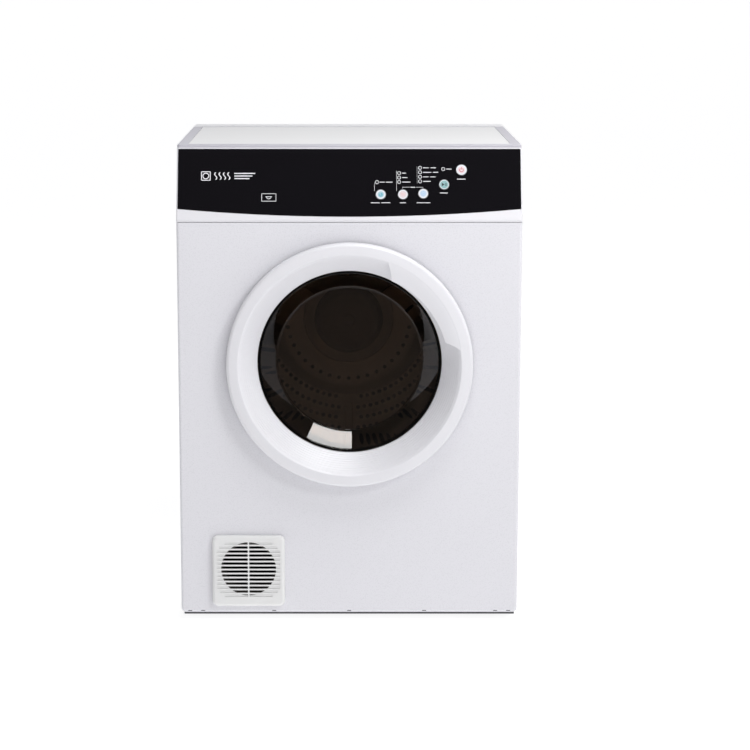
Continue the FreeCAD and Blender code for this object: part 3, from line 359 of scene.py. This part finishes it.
hole_rows = [(radius * MM, count) for radius, count in
             ((166.5, 84), (187.5, 94), (208, 104), (228, 114), (247, 124))]
outer_ring = punched_ring("drum_wall_ring", RECESS_RADIUS, WALL_RADIUS, hole_rows, 14 * MM, ring_back)
plateau = punched_ring("drum_wall_centre", FILTER_SEAT, PLATEAU_FLAT, [(119 * MM, 40)], 0.0,
                       plateau_front + SHEET)
shoulder = turned("drum_wall_shoulder", [
    (PLATEAU_FLAT, plateau_front), (PLATEAU_RADIUS - 2 * MM, plateau_front + 0.6 * MM),
    (PLATEAU_RADIUS, plateau_front + 2 * MM), (RECESS_RADIUS, ring_back - SHEET),
    (RECESS_RADIUS, ring_back), (RECESS_RADIUS - MM, ring_back),
    (PLATEAU_RADIUS - MM, plateau_front + 2 * MM + SHEET), (PLATEAU_FLAT, plateau_front + SHEET)],
    0, drum_z, wall_steel, steps=160)
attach(outer_ring, "drum")
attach(plateau, "drum")
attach(shoulder, "drum")
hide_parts("drum_rear_wall")

# The lint filter's skirt is a bright pressed ring round its dark dome; the dome's black side wall
# is partly painted shade, standing for the shadow beneath it.
bezel = turned("filter_bezel", [
    (66.3 * MM, front_y + 437.4 * MM), (84 * MM, front_y + 444.5 * MM), (86.6 * MM, front_y + 448.2 * MM),
    (86.0 * MM, front_y + 448.5 * MM), (83.6 * MM, front_y + 445.0 * MM), (66.3 * MM, front_y + 438.0 * MM)],
    0, drum_z, wall_steel, steps=160)
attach(bezel, "lint_filter")

# Four pressed ribs stiffen the flat ring; each is a long round-ended swelling towards the load.
RIB_LAYERS = 6
RIB_STEPS = 32
RIB_HEIGHT = 3.2 * MM
RIB_INNER = 183 * MM
RIB_OUTER = 246 * MM


def rib_loop(mesh, turn, rise):
    """One closed loop round a rib, at its foot when rise is 0 and round its crest at 90 degrees."""
    half = (8 - 3.5 * (1 - math.cos(rise))) * MM
    y = ring_back - SHEET - RIB_HEIGHT * math.sin(rise)
    loop = []
    for step in range(RIB_STEPS):
        bend = 2 * math.pi * step / RIB_STEPS
        along = (RIB_INNER if math.sin(bend) < 0 else RIB_OUTER) + half * math.sin(bend)
        across = half * math.cos(bend)
        x = across * math.cos(turn) + along * math.sin(turn)
        z = drum_z + along * math.cos(turn) - across * math.sin(turn)
        loop.append(mesh.verts.new((x, y, z)))
    return loop


def bridge(mesh, loops):
    """Join loops of equal length, one after the other, with four-sided faces."""
    for here, there in zip(loops, loops[1:]):
        for index in range(len(here)):
            after = (index + 1) % len(here)
            mesh.faces.new((here[index], here[after], there[after], there[index]))


rib_mesh = bmesh.new()
for quarter in range(4):
    rises = [layer / (RIB_LAYERS - 1) * math.pi / 2 for layer in range(RIB_LAYERS)]
    loops = [rib_loop(rib_mesh, math.radians(90 * quarter), rise) for rise in rises]
    bridge(rib_mesh, loops)
    rib_mesh.faces.new(loops[0])
    rib_mesh.faces.new(loops[-1])
ribs = outlined("drum_wall_ribs", rib_mesh, wall_steel, 50)
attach(ribs, "drum")

# ------------------------------------------------------------------ air path and heater
# The fan, its casing and the exhaust duct are glass-filled plastic; the heater box is sheet steel.
duct_plastic = finish("duct_plastic", (0.055, 0.055, 0.06), 0.5, bump=0.05, grain=700)
heater_alloy = finish("heater_alloy", (0.6, 0.6, 0.6), 0.4, metallic=1.0, grain=300)
phenolic = finish("phenolic", (0.03, 0.025, 0.022), 0.5, grain=600)
paint(duct_plastic, "fan_housing", "exhaust_duct", "exhaust_collar", "fan_wheel", "fan_pulley")
paint(galvanised, "heater_box")
paint(heater_alloy, "heater_element")
paint(phenolic, "thermostats")

# ------------------------------------------------------------------ motor, belts and tension arm
# A capacitor-run motor drives the drum by a long flat belt and the fan by a short one.
motor_varnish = finish("motor_varnish", (0.22, 0.22, 0.23), 0.4, metallic=0.6, mottle=0.08, grain=200)
belt_rubber = finish("belt_rubber", (0.02, 0.02, 0.02), 0.75, bump=0.1, grain=900)
white_can = finish("capacitor_plastic", (0.65, 0.65, 0.62), 0.35, grain=500)
board_lacquer = finish("board_lacquer", (0.02, 0.12, 0.05), 0.3, mottle=0.1, grain=300, coat=0.4)
nylon = finish("catch_nylon", (0.5, 0.5, 0.51), 0.4, bump=0.03, grain=900)
paint(motor_varnish, "motor_body")
paint(screw_steel, "motor_shaft", "motor_pulleys", "idler_arm", "idler_spring")
paint(black_plastic, "idler_wheel", "door_switch")
paint(belt_rubber, "drum_belt", "fan_belt")
paint(white_can, "run_capacitor")
paint(board_lacquer, "control_board")
paint(nylon, "door_catch")

# ------------------------------------------------------------------ door moulding
# One white moulding: a rounded rim, a soft crease, then a deep dish that falls in to the glass
# in shallow moulded steps.
white_plastic = finish("white_plastic", (0.79, 0.785, 0.82), 0.42, mottle=0.005, bump=0.01, grain=600)
ring_low, ring_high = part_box("door_ring")
door_x = (ring_low.x + ring_high.x) / 2
door_z = (ring_low.z + ring_high.z) / 2
door_front = ring_low.y
RIM_RADIUS = (ring_high.x - ring_low.x) / 2
RIM_BACK = front_y - 4.5 * MM
CREASE_RADIUS = 191.4 * MM
SEAT_RADIUS = 160.9 * MM
DISH_TOP = door_front + 1.4 * MM
DISH_FOOT = front_y + 20 * MM
DISH_STEPS = 10


def arc(centre, radius, start, end, count):
    """Points of (radius, y) along an arc; 0 degrees points outwards and 90 to the front."""
    points = []
    for index in range(count + 1):
        turn = math.radians(start + (end - start) * index / count)
        points.append((centre[0] + radius * math.cos(turn), centre[1] - radius * math.sin(turn)))
    return points


def on_dish(share):
    """A point on the dish, from the crease at 0 to the glass at 1."""
    radius = CREASE_RADIUS + (SEAT_RADIUS - CREASE_RADIUS) * share
    return radius, DISH_TOP + (DISH_FOOT - DISH_TOP) * share


rim_round = 7.0 * MM
crease_round = 3.4 * MM
rim_outline = [(RIM_RADIUS, RIM_BACK)]
rim_outline += arc((RIM_RADIUS - rim_round, door_front + 8.4 * MM), rim_round, 0, 82, 12)
rim_outline += arc((CREASE_RADIUS + crease_round, door_front + crease_round), crease_round, 84, 150, 8)
for step in range(DISH_STEPS):
    radius, y = on_dish((step + 0.60) / DISH_STEPS)
    rim_outline.append((radius - 0.45 * MM, y - 0.50 * MM))
    rim_outline.append(on_dish((step + 0.95) / DISH_STEPS))
rim_outline += [(SEAT_RADIUS, front_y + 22.5 * MM), (SEAT_RADIUS + 3 * MM, front_y + 22.5 * MM),
                (CREASE_RADIUS + 2.4 * MM, door_front + 3.4 * MM),
                (RIM_RADIUS - 8.6 * MM, door_front + 6 * MM), (RIM_RADIUS - 2.5 * MM, door_front + 13 * MM),
                (RIM_RADIUS - 2.5 * MM, RIM_BACK)]
door_ring = turned("door_moulding", rim_outline, door_x, door_z, white_plastic, steps=256, smooth_below=24)
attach(door_ring, "door")
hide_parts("door_ring")

# ------------------------------------------------------------------ door grip
# A smooth plate bridges the dish on the upper right, flush with the crease; its ends turn down
# to the dish and the fingers hook behind its free inner edge.
GRIP_THICK = 3.0 * MM
GRIP_SINK = 5.4 * MM


def grip_point(along, inward, drop=0.0):
    """A point on the grip: along runs down its length, inward from the crease to its free edge."""
    start = 19.9 + 6.0 * inward
    end = 81.6 - 5.6 * inward ** 0.8
    turn = math.radians(start + (end - start) * along)
    outer = CREASE_RADIUS + 2 * MM
    inner = (165.2 + 5.2 * along) * MM
    radius = outer + (inner - outer) * inward
    crown = 0.1 * MM * math.sin(math.pi * inward)
    y = door_front + 0.25 * MM + GRIP_SINK * inward ** 1.5 - crown + drop
    return Vector((door_x + radius * math.sin(turn), y, door_z + radius * math.cos(turn)))


def dish_y(point):
    """How deep the dish lies behind a point."""
    radius = math.hypot(point.x - door_x, point.z - door_z)
    share = (radius - CREASE_RADIUS) / (SEAT_RADIUS - CREASE_RADIUS)
    return DISH_TOP + (DISH_FOOT - DISH_TOP) * min(1, max(0, share))


LENGTHS = 48
ACROSS = 10
END_WALL = 0.022
SUNK = 0.4 * MM
section_steps = [index / ACROSS for index in range(ACROSS + 1)]
grip_mesh = bmesh.new()
sections = []
for step in range(LENGTHS + 1):
    along = step / LENGTHS
    section = [grip_point(along, inward) for inward in section_steps]
    section += [grip_point(along, 1.0, drop) for drop in (1.2 * MM, GRIP_THICK)]
    section += [grip_point(along, inward, GRIP_THICK) for inward in reversed(section_steps[:-1])]
    sections.append([grip_mesh.verts.new(point) for point in section])
bridge(grip_mesh, sections)
grip_mesh.faces.new(sections[0])
grip_mesh.faces.new(sections[-1])

# A wall under each end closes the grip down to the dish.
for along, back in ((0.0, END_WALL), (1.0, 1.0 - END_WALL)):
    walls = []
    for inward in section_steps:
        near = grip_point(along, inward, SUNK)
        far = grip_point(back, inward, SUNK)
        foot_near = Vector((near.x, dish_y(near) + SUNK, near.z))
        foot_far = Vector((far.x, dish_y(far) + SUNK, far.z))
        walls.append([grip_mesh.verts.new(point) for point in (near, far, foot_far, foot_near)])
    bridge(grip_mesh, walls)
    grip_mesh.faces.new(walls[0])
    grip_mesh.faces.new(walls[-1])
grip = outlined("door_grip", grip_mesh, white_plastic, 40)
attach(grip, "door")
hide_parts("door_handle")

# ------------------------------------------------------------------ door glass and its frame
# A deep bowl of brown-black tinted glass with a flat window, clamped by a dark ring behind.
# Lamps shine dimly through the tint, so the drum behind it just shows.
smoked = bpy.data.materials.new("smoked_glass")
smoked.use_nodes = True
glass_tree = smoked.node_tree
glass = glass_tree.nodes["Principled BSDF"]
glass.inputs["Base Color"].default_value = (0.20, 0.145, 0.11, 1)
glass.inputs["Roughness"].default_value = 0.0
glass.inputs["IOR"].default_value = 1.5
glass.inputs["Transmission Weight"].default_value = 1.0
let_through = glass_tree.nodes.new("ShaderNodeBsdfTransparent")
let_through.inputs["Color"].default_value = (0.14, 0.12, 0.105, 1)
kind_of_ray = glass_tree.nodes.new("ShaderNodeLightPath")
by_ray = glass_tree.nodes.new("ShaderNodeMixShader")
glass_tree.links.new(kind_of_ray.outputs["Is Shadow Ray"], by_ray.inputs["Fac"])
glass_tree.links.new(glass.outputs["BSDF"], by_ray.inputs[1])
glass_tree.links.new(let_through.outputs["BSDF"], by_ray.inputs[2])
glass_tree.links.new(by_ray.outputs["Shader"], glass_tree.nodes["Material Output"].inputs["Surface"])

RIM_Y = front_y + 23 * MM
WINDOW_Y = front_y + 53 * MM
GLASS_RADIUS = 159.4 * MM
WINDOW_RADIUS = 127.8 * MM
GLASS_THICK = 3 * MM
WALL_TOP = (GLASS_RADIUS - 3.8 * MM, RIM_Y + 5.1 * MM)
WALL_BEND = 47.6
INTO_GLASS = Vector((math.cos(math.radians(WALL_BEND)), math.sin(math.radians(WALL_BEND))))


def on_wall(depth, behind=0.0):
    """A point of (radius, y) on the sloping wall, by its depth from the rim, or behind its face."""
    face = Vector((WALL_TOP[0] - math.tan(math.radians(WALL_BEND)) * depth, WALL_TOP[1] + depth))
    return tuple(face + INTO_GLASS * behind)


bowl_outline = [(GLASS_RADIUS + 8 * MM, RIM_Y), (GLASS_RADIUS - 1.5 * MM, RIM_Y)]
bowl_outline += arc((GLASS_RADIUS - 2.2 * MM, RIM_Y + 1.6 * MM), 1.6 * MM, 100, 180, 5)
bowl_outline += [on_wall(0), on_wall(1 * MM), on_wall(23 * MM), on_wall(24 * MM)]
bowl_outline += arc((WINDOW_RADIUS, WINDOW_Y), 1.1 * MM, 40, 140, 6)
bowl_outline += [(WINDOW_RADIUS - 1.4 * MM, WINDOW_Y), (0, WINDOW_Y), (0, WINDOW_Y + GLASS_THICK)]
bowl_outline += [(WINDOW_RADIUS - 2.5 * MM, WINDOW_Y + GLASS_THICK)]
bowl_outline += arc((WINDOW_RADIUS - 0.7 * MM, WINDOW_Y - 3 * MM), 6 * MM, -90, -WALL_BEND, 6)
bowl_outline += [on_wall(23 * MM, GLASS_THICK), on_wall(1 * MM, GLASS_THICK),
                 (GLASS_RADIUS - 0.4 * MM, RIM_Y + 5.5 * MM), (GLASS_RADIUS, RIM_Y + GLASS_THICK),
                 (GLASS_RADIUS + 8 * MM, RIM_Y + GLASS_THICK)]
bowl = turned("door_glass_bowl", bowl_outline, door_x, door_z, smoked, steps=256, smooth_below=35)
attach(bowl, "door")
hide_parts("door_glass")

frame_plastic = finish("door_frame_plastic", (0.03, 0.028, 0.027), 0.35, bump=0.03, grain=700)
gasket_rubber = finish("gasket_rubber", (0.10, 0.10, 0.105), 0.65, bump=0.05, grain=900)
paint(frame_plastic, "door_inner_frame")
paint(gasket_rubber, "door_gasket")

# ------------------------------------------------------------------ vent grille
# A square white moulding clipped over the round exhaust port: a bevelled frame, a thin face with
# fourteen level slots and a backing whose round hole lets the air through to the spigot.
vent_plastic = finish("vent_plastic", (0.80, 0.80, 0.80), 0.36, mottle=0.006, bump=0.01, grain=600)
port_plastic = finish("port_plastic", (0.13, 0.115, 0.10), 0.5, bump=0.04, grain=700)
paint(port_plastic, "exhaust_collar")
grille_low, grille_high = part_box("vent_grille")
port_x = (grille_low.x + grille_high.x) / 2
port_z = (grille_low.z + grille_high.z) / 2
GRILLE_HALF = (grille_high.x - grille_low.x) / 2
GRILLE_FRONT = grille_low.y
SLOT_COUNT = 14
SLOT_PITCH = 7.3 * MM
SLOT_HEIGHT = 4.6 * MM
SLOT_RISE = 3.4 * MM
FACE_THICK = 1.7 * MM


def square_outline(half, corner, steps=8):
    """A rounded square round the port, as (x, z) points."""
    points = []
    for quarter, (side, up) in enumerate(((1, 1), (-1, 1), (-1, -1), (1, -1))):
        for step in range(steps + 1):
            turn = math.radians(90 * quarter + 90 * step / steps)
            points.append((port_x + side * (half - corner) + corner * math.cos(turn),
                           port_z + up * (half - corner) + corner * math.sin(turn)))
    return points


def cut_sheet(name, outlines, y, thickness, material):
    """A flat upright sheet of (x, z) outlines, the first its edge and the rest its holes."""
    shape = bpy.data.curves.new(name, "CURVE")
    shape.dimensions = "2D"
    shape.fill_mode = "BOTH"
    shape.extrude = thickness / 2
    for outline in outlines:
        line = shape.splines.new("POLY")
        line.points.add(len(outline) - 1)
        for point, (x, z) in zip(line.points, outline):
            point.co = (x, z, 0, 1)
        line.use_cyclic_u = True
    drawn = bpy.data.objects.new(name + "_drawing", shape)
    bpy.context.scene.collection.objects.link(drawn)
    ready = drawn.evaluated_get(bpy.context.evaluated_depsgraph_get())
    mesh = bmesh.new()
    mesh.from_mesh(bpy.data.meshes.new_from_object(ready))
    bpy.data.objects.remove(drawn)
    mesh.transform(Matrix.Translation((0, y + thickness / 2, 0)) @ Matrix.Rotation(math.radians(90), 4, "X"))
    return outlined(name, mesh, material)


# The frame's section, in mm inwards from its edge and back from its face.
BEVEL = [(0.0, 8.7), (0.0, 4.4), (0.7, 2.4), (2.2, 0.9), (4.4, 0.1), (6.0, 0.0), (6.0, 1.4), (3.2, 4.8),
         (2.4, 8.7)]
frame_mesh = bmesh.new()
loops = []
for inset, depth in BEVEL:
    outline = square_outline(GRILLE_HALF - inset * MM, max(3, 10 - inset) * MM)
    loops.append([frame_mesh.verts.new((x, GRILLE_FRONT + depth * MM, z)) for x, z in outline])
bridge(frame_mesh, loops + loops[:1])
grille_frame = outlined("vent_grille_frame", frame_mesh, vent_plastic, 50)

# Each slot is split by the middle bar; the first two and the last two slots are shorter.
SLOT_HALVES = {0: 42.0, 1: 51.0}
LONGEST_HALF = 55.5
MIDDLE_BAR_HALF = 1.35 * MM
slots = []
for index in range(SLOT_COUNT):
    z = port_z + SLOT_RISE + (index - (SLOT_COUNT - 1) / 2) * SLOT_PITCH
    low_z = z - SLOT_HEIGHT / 2
    high_z = z + SLOT_HEIGHT / 2
    half = SLOT_HALVES.get(min(index, SLOT_COUNT - 1 - index), LONGEST_HALF) * MM
    for near, far in ((port_x - half, port_x - MIDDLE_BAR_HALF), (port_x + MIDDLE_BAR_HALF, port_x + half)):
        slots.append([(near, low_z), (far, low_z), (far, high_z), (near, high_z)])
face_edge = square_outline(GRILLE_HALF - 5.8 * MM, 4.2 * MM)
grille_face = cut_sheet("vent_grille_face", [face_edge] + slots, GRILLE_FRONT + 0.03 * MM, FACE_THICK,
                        vent_plastic)
AIR_HOLE_RADIUS = 48.4 * MM
AIR_HOLE_RISE = 4.2 * MM
air_hole = []
for step in range(120):
    turn = math.radians(3 * step)
    air_hole.append((port_x + AIR_HOLE_RADIUS * math.cos(turn),
                     port_z + AIR_HOLE_RISE + AIR_HOLE_RADIUS * math.sin(turn)))
backing = cut_sheet("vent_grille_backing", [face_edge, air_hole], GRILLE_FRONT + FACE_THICK, 1.2 * MM,
                    vent_plastic)
spigot = turned("vent_grille_spigot", [
    (49.3 * MM, front_y - 6.2 * MM), (50.5 * MM, front_y - 6.2 * MM), (50.5 * MM, front_y + 9 * MM),
    (49.3 * MM, front_y + 9 * MM)], port_x, port_z, port_plastic, steps=96)
for piece in (grille_frame, grille_face, backing, spigot):
    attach(piece, "grille")
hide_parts("vent_grille")

# A dark strip under the front panel's bottom shows the base pan's lip and also paints the shadow line
# beneath the panel; seven small dark patches on its flange are painted shade where its slots are pressed.
lip_and_slot_shade = finish("lip_and_slot_shade", (0.10, 0.10, 0.105), 0.6, grain=700)
panel_low, panel_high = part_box("front_panel")


def block(name, low, high, material):
    """A plain block on the cabinet, between two corners."""
    mesh = bmesh.new()
    bmesh.ops.create_cube(mesh, size=1)
    size = Vector(high) - Vector(low)
    middle = (Vector(high) + Vector(low)) / 2
    mesh.transform(Matrix.Translation(middle) @ Matrix.Diagonal(size.to_4d()))
    made = outlined(name, mesh, material)
    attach(made, "cabinet")


block("base_lip_and_shadow_line", (panel_low.x + 5 * MM, front_y + 2.2 * MM, panel_low.z - 2.6 * MM),
      (panel_high.x - 5 * MM, front_y + 9 * MM, panel_low.z - 0.02 * MM), lip_and_slot_shade)
# These patches are painted shade: dark blocks on the flange in place of cut slots.
FLANGE_SLOTS = (-282, -259, -133, 0, 133, 259, 282)
FLANGE_SLOT_HALF = 3.4
for number, x in enumerate(FLANGE_SLOTS, 1):
    block("flange_slot_shade_" + str(number),
          ((x - FLANGE_SLOT_HALF) * MM, front_y + 0.1 * MM, panel_low.z + 3.25 * MM),
          ((x + FLANGE_SLOT_HALF) * MM, front_y + 0.45 * MM, panel_low.z + 4.75 * MM), lip_and_slot_shade)

# ------------------------------------------------------------------ control housing and fascia
# The white housing leans back and carries a deep black gloss fascia whose lower edge is one arc.
fascia_gloss = finish("fascia_gloss", (0.0052, 0.0046, 0.0062), 0.10, mottle=0.0, grain=500, coat=0.0)
lens_smoke = finish("lens_smoke", (0.02, 0.02, 0.022), 0.2, mottle=0.0, grain=500)
paint(white_plastic, "control_housing")
paint(fascia_gloss, "control_fascia")
paint(lens_smoke, "indicator_lenses")

LEAN = math.radians(20)
SLOPE_START = Vector((0, front_y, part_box("front_panel")[1].z + 5 * MM))
UP_SLOPE = Vector((0, math.sin(LEAN), math.cos(LEAN)))
OUT_OF_SLOPE = Vector((0, -math.cos(LEAN), math.sin(LEAN)))
FASCIA_FACE = 0.6
PRINT = 0.06


def on_slope(x, s, n):
    """A place on the leaning face from mm across, up the slope and out of it."""
    return SLOPE_START + Vector((x * MM, 0, 0)) + UP_SLOPE * (s * MM) + OUT_OF_SLOPE * (n * MM)


def printed(name, shapes, material, body, face=FASCIA_FACE, thick=PRINT):
    """Thin closed prints on the slope; shapes are outlines of (x, s) in mm, rings as two outlines."""
    mesh = bmesh.new()
    for outer, inner in shapes:
        low = [mesh.verts.new(on_slope(x, s, face)) for x, s in outer]
        high = [mesh.verts.new(on_slope(x, s, face + thick)) for x, s in outer]
        count = len(outer)
        for index in range(count):
            after = (index + 1) % count
            mesh.faces.new((low[index], low[after], high[after], high[index]))
        if inner:
            low_in = [mesh.verts.new(on_slope(x, s, face)) for x, s in inner]
            high_in = [mesh.verts.new(on_slope(x, s, face + thick)) for x, s in inner]
            for index in range(count):
                after = (index + 1) % count
                mesh.faces.new((low_in[after], low_in[index], high_in[index], high_in[after]))
                mesh.faces.new((high[index], high[after], high_in[after], high_in[index]))
                mesh.faces.new((low[after], low[index], low_in[index], low_in[after]))
        else:
            mesh.faces.new(high)
            mesh.faces.new(low[::-1])
    made = outlined(name, mesh, material, 30)
    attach(made, body)
    return made


def ring_of(x, s, radius, start=0, end=360, count=32):
    """Points round a circle, or along part of it."""
    points = []
    for index in range(count if end - start == 360 else count + 1):
        turn = math.radians(start + (end - start) * index / count)
        points.append((x + radius * math.sin(turn), s + radius * math.cos(turn)))
    return points


def hoop(x, s, radius, width, start=0, end=360):
    """A round line: a full hoop, or part of one."""
    if end - start == 360:
        return ring_of(x, s, radius + width / 2), ring_of(x, s, radius - width / 2)
    outer = ring_of(x, s, radius + width / 2, start, end)
    return outer + ring_of(x, s, radius - width / 2, start, end)[::-1], None


def disc(x, s, radius):
    """A filled circle."""
    return ring_of(x, s, radius), None


def bar(x0, s0, x1, s1, width):
    """A straight line of the given width."""
    run = Vector((x1 - x0, s1 - s0)).normalized() * width / 2
    side = Vector((-run.y, run.x))
    return [(x0 - run.x + side.x, s0 - run.y + side.y), (x1 + run.x + side.x, s1 + run.y + side.y),
            (x1 + run.x - side.x, s1 + run.y - side.y), (x0 - run.x - side.x, s0 - run.y - side.y)], None


def wave(x, s, height, swing, width):
    """An upright wavy line, the usual sign for heat."""
    left = []
    right = []
    for index in range(13):
        up = s - height / 2 + height * index / 12
        bend = x + swing * math.sin(2 * math.pi * index / 12)
        left.append((bend - width / 2, up))
        right.append((bend + width / 2, up))
    return left + right[::-1], None


white_print = finish("white_print", (0.85, 0.85, 0.88), 0.5, mottle=0.0, grain=500)
# Nine lamp rings, the lines that tie them to their buttons, and a bracket between two buttons.
LAMPS = [(47.5, 66.1), (85.6, 82.1), (85.6, 74.2), (85.6, 66.3), (121.7, 91.5), (121.7, 83.5), (121.7, 75.5),
         (121.7, 67.5), (161.7, 89.3)]
lines = [hoop(x, s, 2.8, 0.85) for x, s in LAMPS]
lines += [bar(43.2, 50.5, 43.2, 65.0, 0.45), bar(81.2, 50.5, 81.2, 86.0, 0.45),
          bar(116.6, 64.0, 116.6, 94.0, 0.25)]
lines += [bar(91.5, 57.1, 103.5, 57.1, 0.5), bar(114.5, 57.1, 126.5, 57.1, 0.5),
          bar(91.5, 57.1, 91.5, 55.2, 0.5), bar(126.5, 57.1, 126.5, 55.2, 0.5)]
printed("fascia_lines", lines, white_print, "cabinet", FASCIA_FACE + 0.1)

# Plain dashes stand where a panel like this has its wording: beside each lamp, under each button.
DASHES = [(52, 61, 66.1), (63, 74, 66.1), (91, 97.5, 82.1), (91, 100, 74.2), (91, 105, 66.3),
          (127, 137, 91.5), (140, 149, 91.5), (127, 141, 83.5), (144, 153, 83.5), (127, 136, 75.5),
          (139, 148, 75.5), (127, 140, 67.5), (167, 176, 89.3), (37, 52, 29.7), (55, 70, 29.7),
          (87, 97, 29.7), (115.5, 139, 29.7), (156, 169, 47.0), (185, 200, 71.5), (105, 113, 57.1)]
printed("fascia_dashes", [bar(x0 + 0.6, s, x1 - 0.6, s, 1.2) for x0, x1, s in DASHES], white_print,
        "cabinet")

# On the left stand the international tumble-drying sign and a small framed load sign.
SIGN_X = -247.0
SIGN_S = 77.0
SIGN_HALF = 7.5
low_s = SIGN_S - SIGN_HALF
high_s = SIGN_S + SIGN_HALF
left_x = SIGN_X - SIGN_HALF
right_x = SIGN_X + SIGN_HALF
sign = [bar(left_x, low_s, right_x, low_s, 1.5), bar(right_x, low_s, right_x, high_s, 1.5),
        bar(right_x, high_s, left_x, high_s, 1.5), bar(left_x, high_s, left_x, low_s, 1.5),
        hoop(SIGN_X, SIGN_S, 5.0, 1.5)]
sign += [wave(-230 + 7.5 * k, SIGN_S, 13.0, 1.9, 1.9) for k in range(4)]
sign += [bar(-197, SIGN_S + 4.5 - 4.5 * k, -163 - 5 * k, SIGN_S + 4.5 - 4.5 * k, 1.9) for k in range(3)]
LOAD_X = -138.5
LOAD_S = 39.1
LOAD_HALF_X = 12.3
LOAD_HALF_S = 6.6
for side in (-1, 1):
    x = LOAD_X + side * LOAD_HALF_X
    s = LOAD_S + side * LOAD_HALF_S
    sign += [bar(LOAD_X - LOAD_HALF_X, s, LOAD_X + LOAD_HALF_X, s, 0.9),
             bar(x, LOAD_S - LOAD_HALF_S, x, LOAD_S + LOAD_HALF_S, 0.9)]
sign += [hoop(LOAD_X, LOAD_S + 1.2, 3.8, 1.1, 90, 270),
         bar(LOAD_X - 5, LOAD_S + 1.2, LOAD_X + 5, LOAD_S + 1.2, 1.1)]
printed("fascia_signs", sign, white_print, "cabinet")

# ------------------------------------------------------------------ push buttons
# Five round buttons, black at the side, each with a silver-white cap, a tinted disc and a sign.
button_silver = finish("button_silver", (0.75, 0.77, 0.81), 0.3, mottle=0.01, grain=600, coat=0.1)
BUTTON_FACE = 2.2
CAP_THICK = 0.12
INK_THICK = 0.05
# Across, up the slope, the cap's radius and the tinted disc's radius in mm, and the disc's colour.
BUTTONS = {
    "anti_crease_button": (54.0, 44.0, 8.3, 5.2, (0.38, 0.58, 0.66)),
    "heat_button": (92.0, 44.0, 8.3, 6.4, (0.74, 0.66, 0.67)),
    "program_button": (127.0, 45.5, 8.3, 5.6, (0.56, 0.67, 0.80)),
    "start_pause_button": (163.0, 61.5, 8.3, 7.0, (0.28, 0.48, 0.49)),
    "power_button": (193.0, 87.5, 9.1, 6.2, (0.80, 0.66, 0.68)),
}


def button_sign(name, x, s):
    """The little picture on a button."""
    if name == "power_button":
        return [hoop(x, s - 0.3, 3.1, 1.2, 35, 325), bar(x, s + 0.9, x, s + 3.9, 1.1)]
    if name == "start_pause_button":
        play = [(x - 3.9, s - 2.9), (x - 3.9, s + 2.9), (x + 0.7, s)]
        return [(play, None), bar(x + 2.1, s - 2.2, x + 2.1, s + 2.2, 0.8),
                bar(x + 3.9, s - 2.2, x + 3.9, s + 2.2, 0.8)]
    if name == "program_button":
        return [hoop(x, s, 3.2, 0.5), bar(x - 1.4, s, x - 0.3, s - 1.3, 0.5),
                bar(x - 0.3, s - 1.3, x + 1.7, s + 1.3, 0.5)]
    if name == "heat_button":
        return [wave(x + 2.1 * k, s, 4.6, 0.6, 0.6) for k in (-1, 0, 1)]
    return [hoop(x, s - 0.3, 2.6, 1.3, 60, 300), disc(x + 1.2, s + 1.0, 1.4)]


SIGN_COLOURS = {"anti_crease_button": (0.10, 0.42, 0.52), "heat_button": (0.75, 0.42, 0.42),
                "program_button": (0.25, 0.50, 0.75), "start_pause_button": (0.02, 0.02, 0.03),
                "power_button": (0.50, 0.12, 0.14)}
for name, (x, s, cap, tinted, tint) in BUTTONS.items():
    paint(black_plastic, name)
    face = finish(name + "_face", tint, 0.3, mottle=0.01, grain=600)
    ink = finish(name + "_ink", SIGN_COLOURS[name], 0.4, mottle=0.0, grain=600)
    body = name + "_body"
    cap_face = BUTTON_FACE + CAP_THICK
    printed(name + "_cap", [disc(x, s, cap)], button_silver, body, BUTTON_FACE, CAP_THICK)
    printed(name + "_disc", [disc(x, s, tinted)], face, body, cap_face, INK_THICK)
    printed(name + "_sign", button_sign(name, x, s), ink, body, cap_face + INK_THICK, INK_THICK)

# ------------------------------------------------------------------ worktop
# A faced board let into a plastic frame, screwed down through its deep rear strip.  The frame's sides
# and front are coloured grey, darker than the board; its rear strip is coloured near-white as painted light.
REAR_STRIP = 66 * MM
board_facing = finish("worktop_facing", (0.83, 0.83, 0.825), 0.35, mottle=0.008, bump=0.01, grain=900)
grey_frame_and_painted_light = finish("worktop_frame_and_painted_light", (0.54, 0.53, 0.58), 0.4, mottle=0.01, bump=0.02, grain=900)
paint(board_facing, "top_panel")
strip_tree = grey_frame_and_painted_light.node_tree
strip_place = strip_tree.nodes.new("ShaderNodeTexCoord")
strip_axes = strip_tree.nodes.new("ShaderNodeSeparateXYZ")
strip_tree.links.new(strip_place.outputs["Object"], strip_axes.inputs["Vector"])
# Painted light: the rear strip is coloured near-white for the brightness its sloping face shows towards the
# lamps.
painted_light_strip_mask = strip_tree.nodes.new("ShaderNodeMath")
painted_light_strip_mask.operation = "GREATER_THAN"
painted_light_strip_mask.inputs[1].default_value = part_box("top_frame")[1].y - REAR_STRIP
strip_tree.links.new(strip_axes.outputs["Y"], painted_light_strip_mask.inputs[0])
painted_light_strip_mix = strip_tree.nodes.new("ShaderNodeMix")
painted_light_strip_mix.data_type = "RGBA"
painted_light_strip_mix.inputs["B"].default_value = (0.90, 0.90, 0.92, 1)
strip_shader = strip_tree.nodes["Principled BSDF"]
strip_tree.links.new(painted_light_strip_mask.outputs["Value"], painted_light_strip_mix.inputs["Factor"])
strip_tree.links.new(strip_shader.inputs["Base Color"].links[0].from_socket, painted_light_strip_mix.inputs["A"])
strip_tree.links.new(painted_light_strip_mix.outputs["Result"], strip_shader.inputs["Base Color"])
paint(grey_frame_and_painted_light, "top_frame")
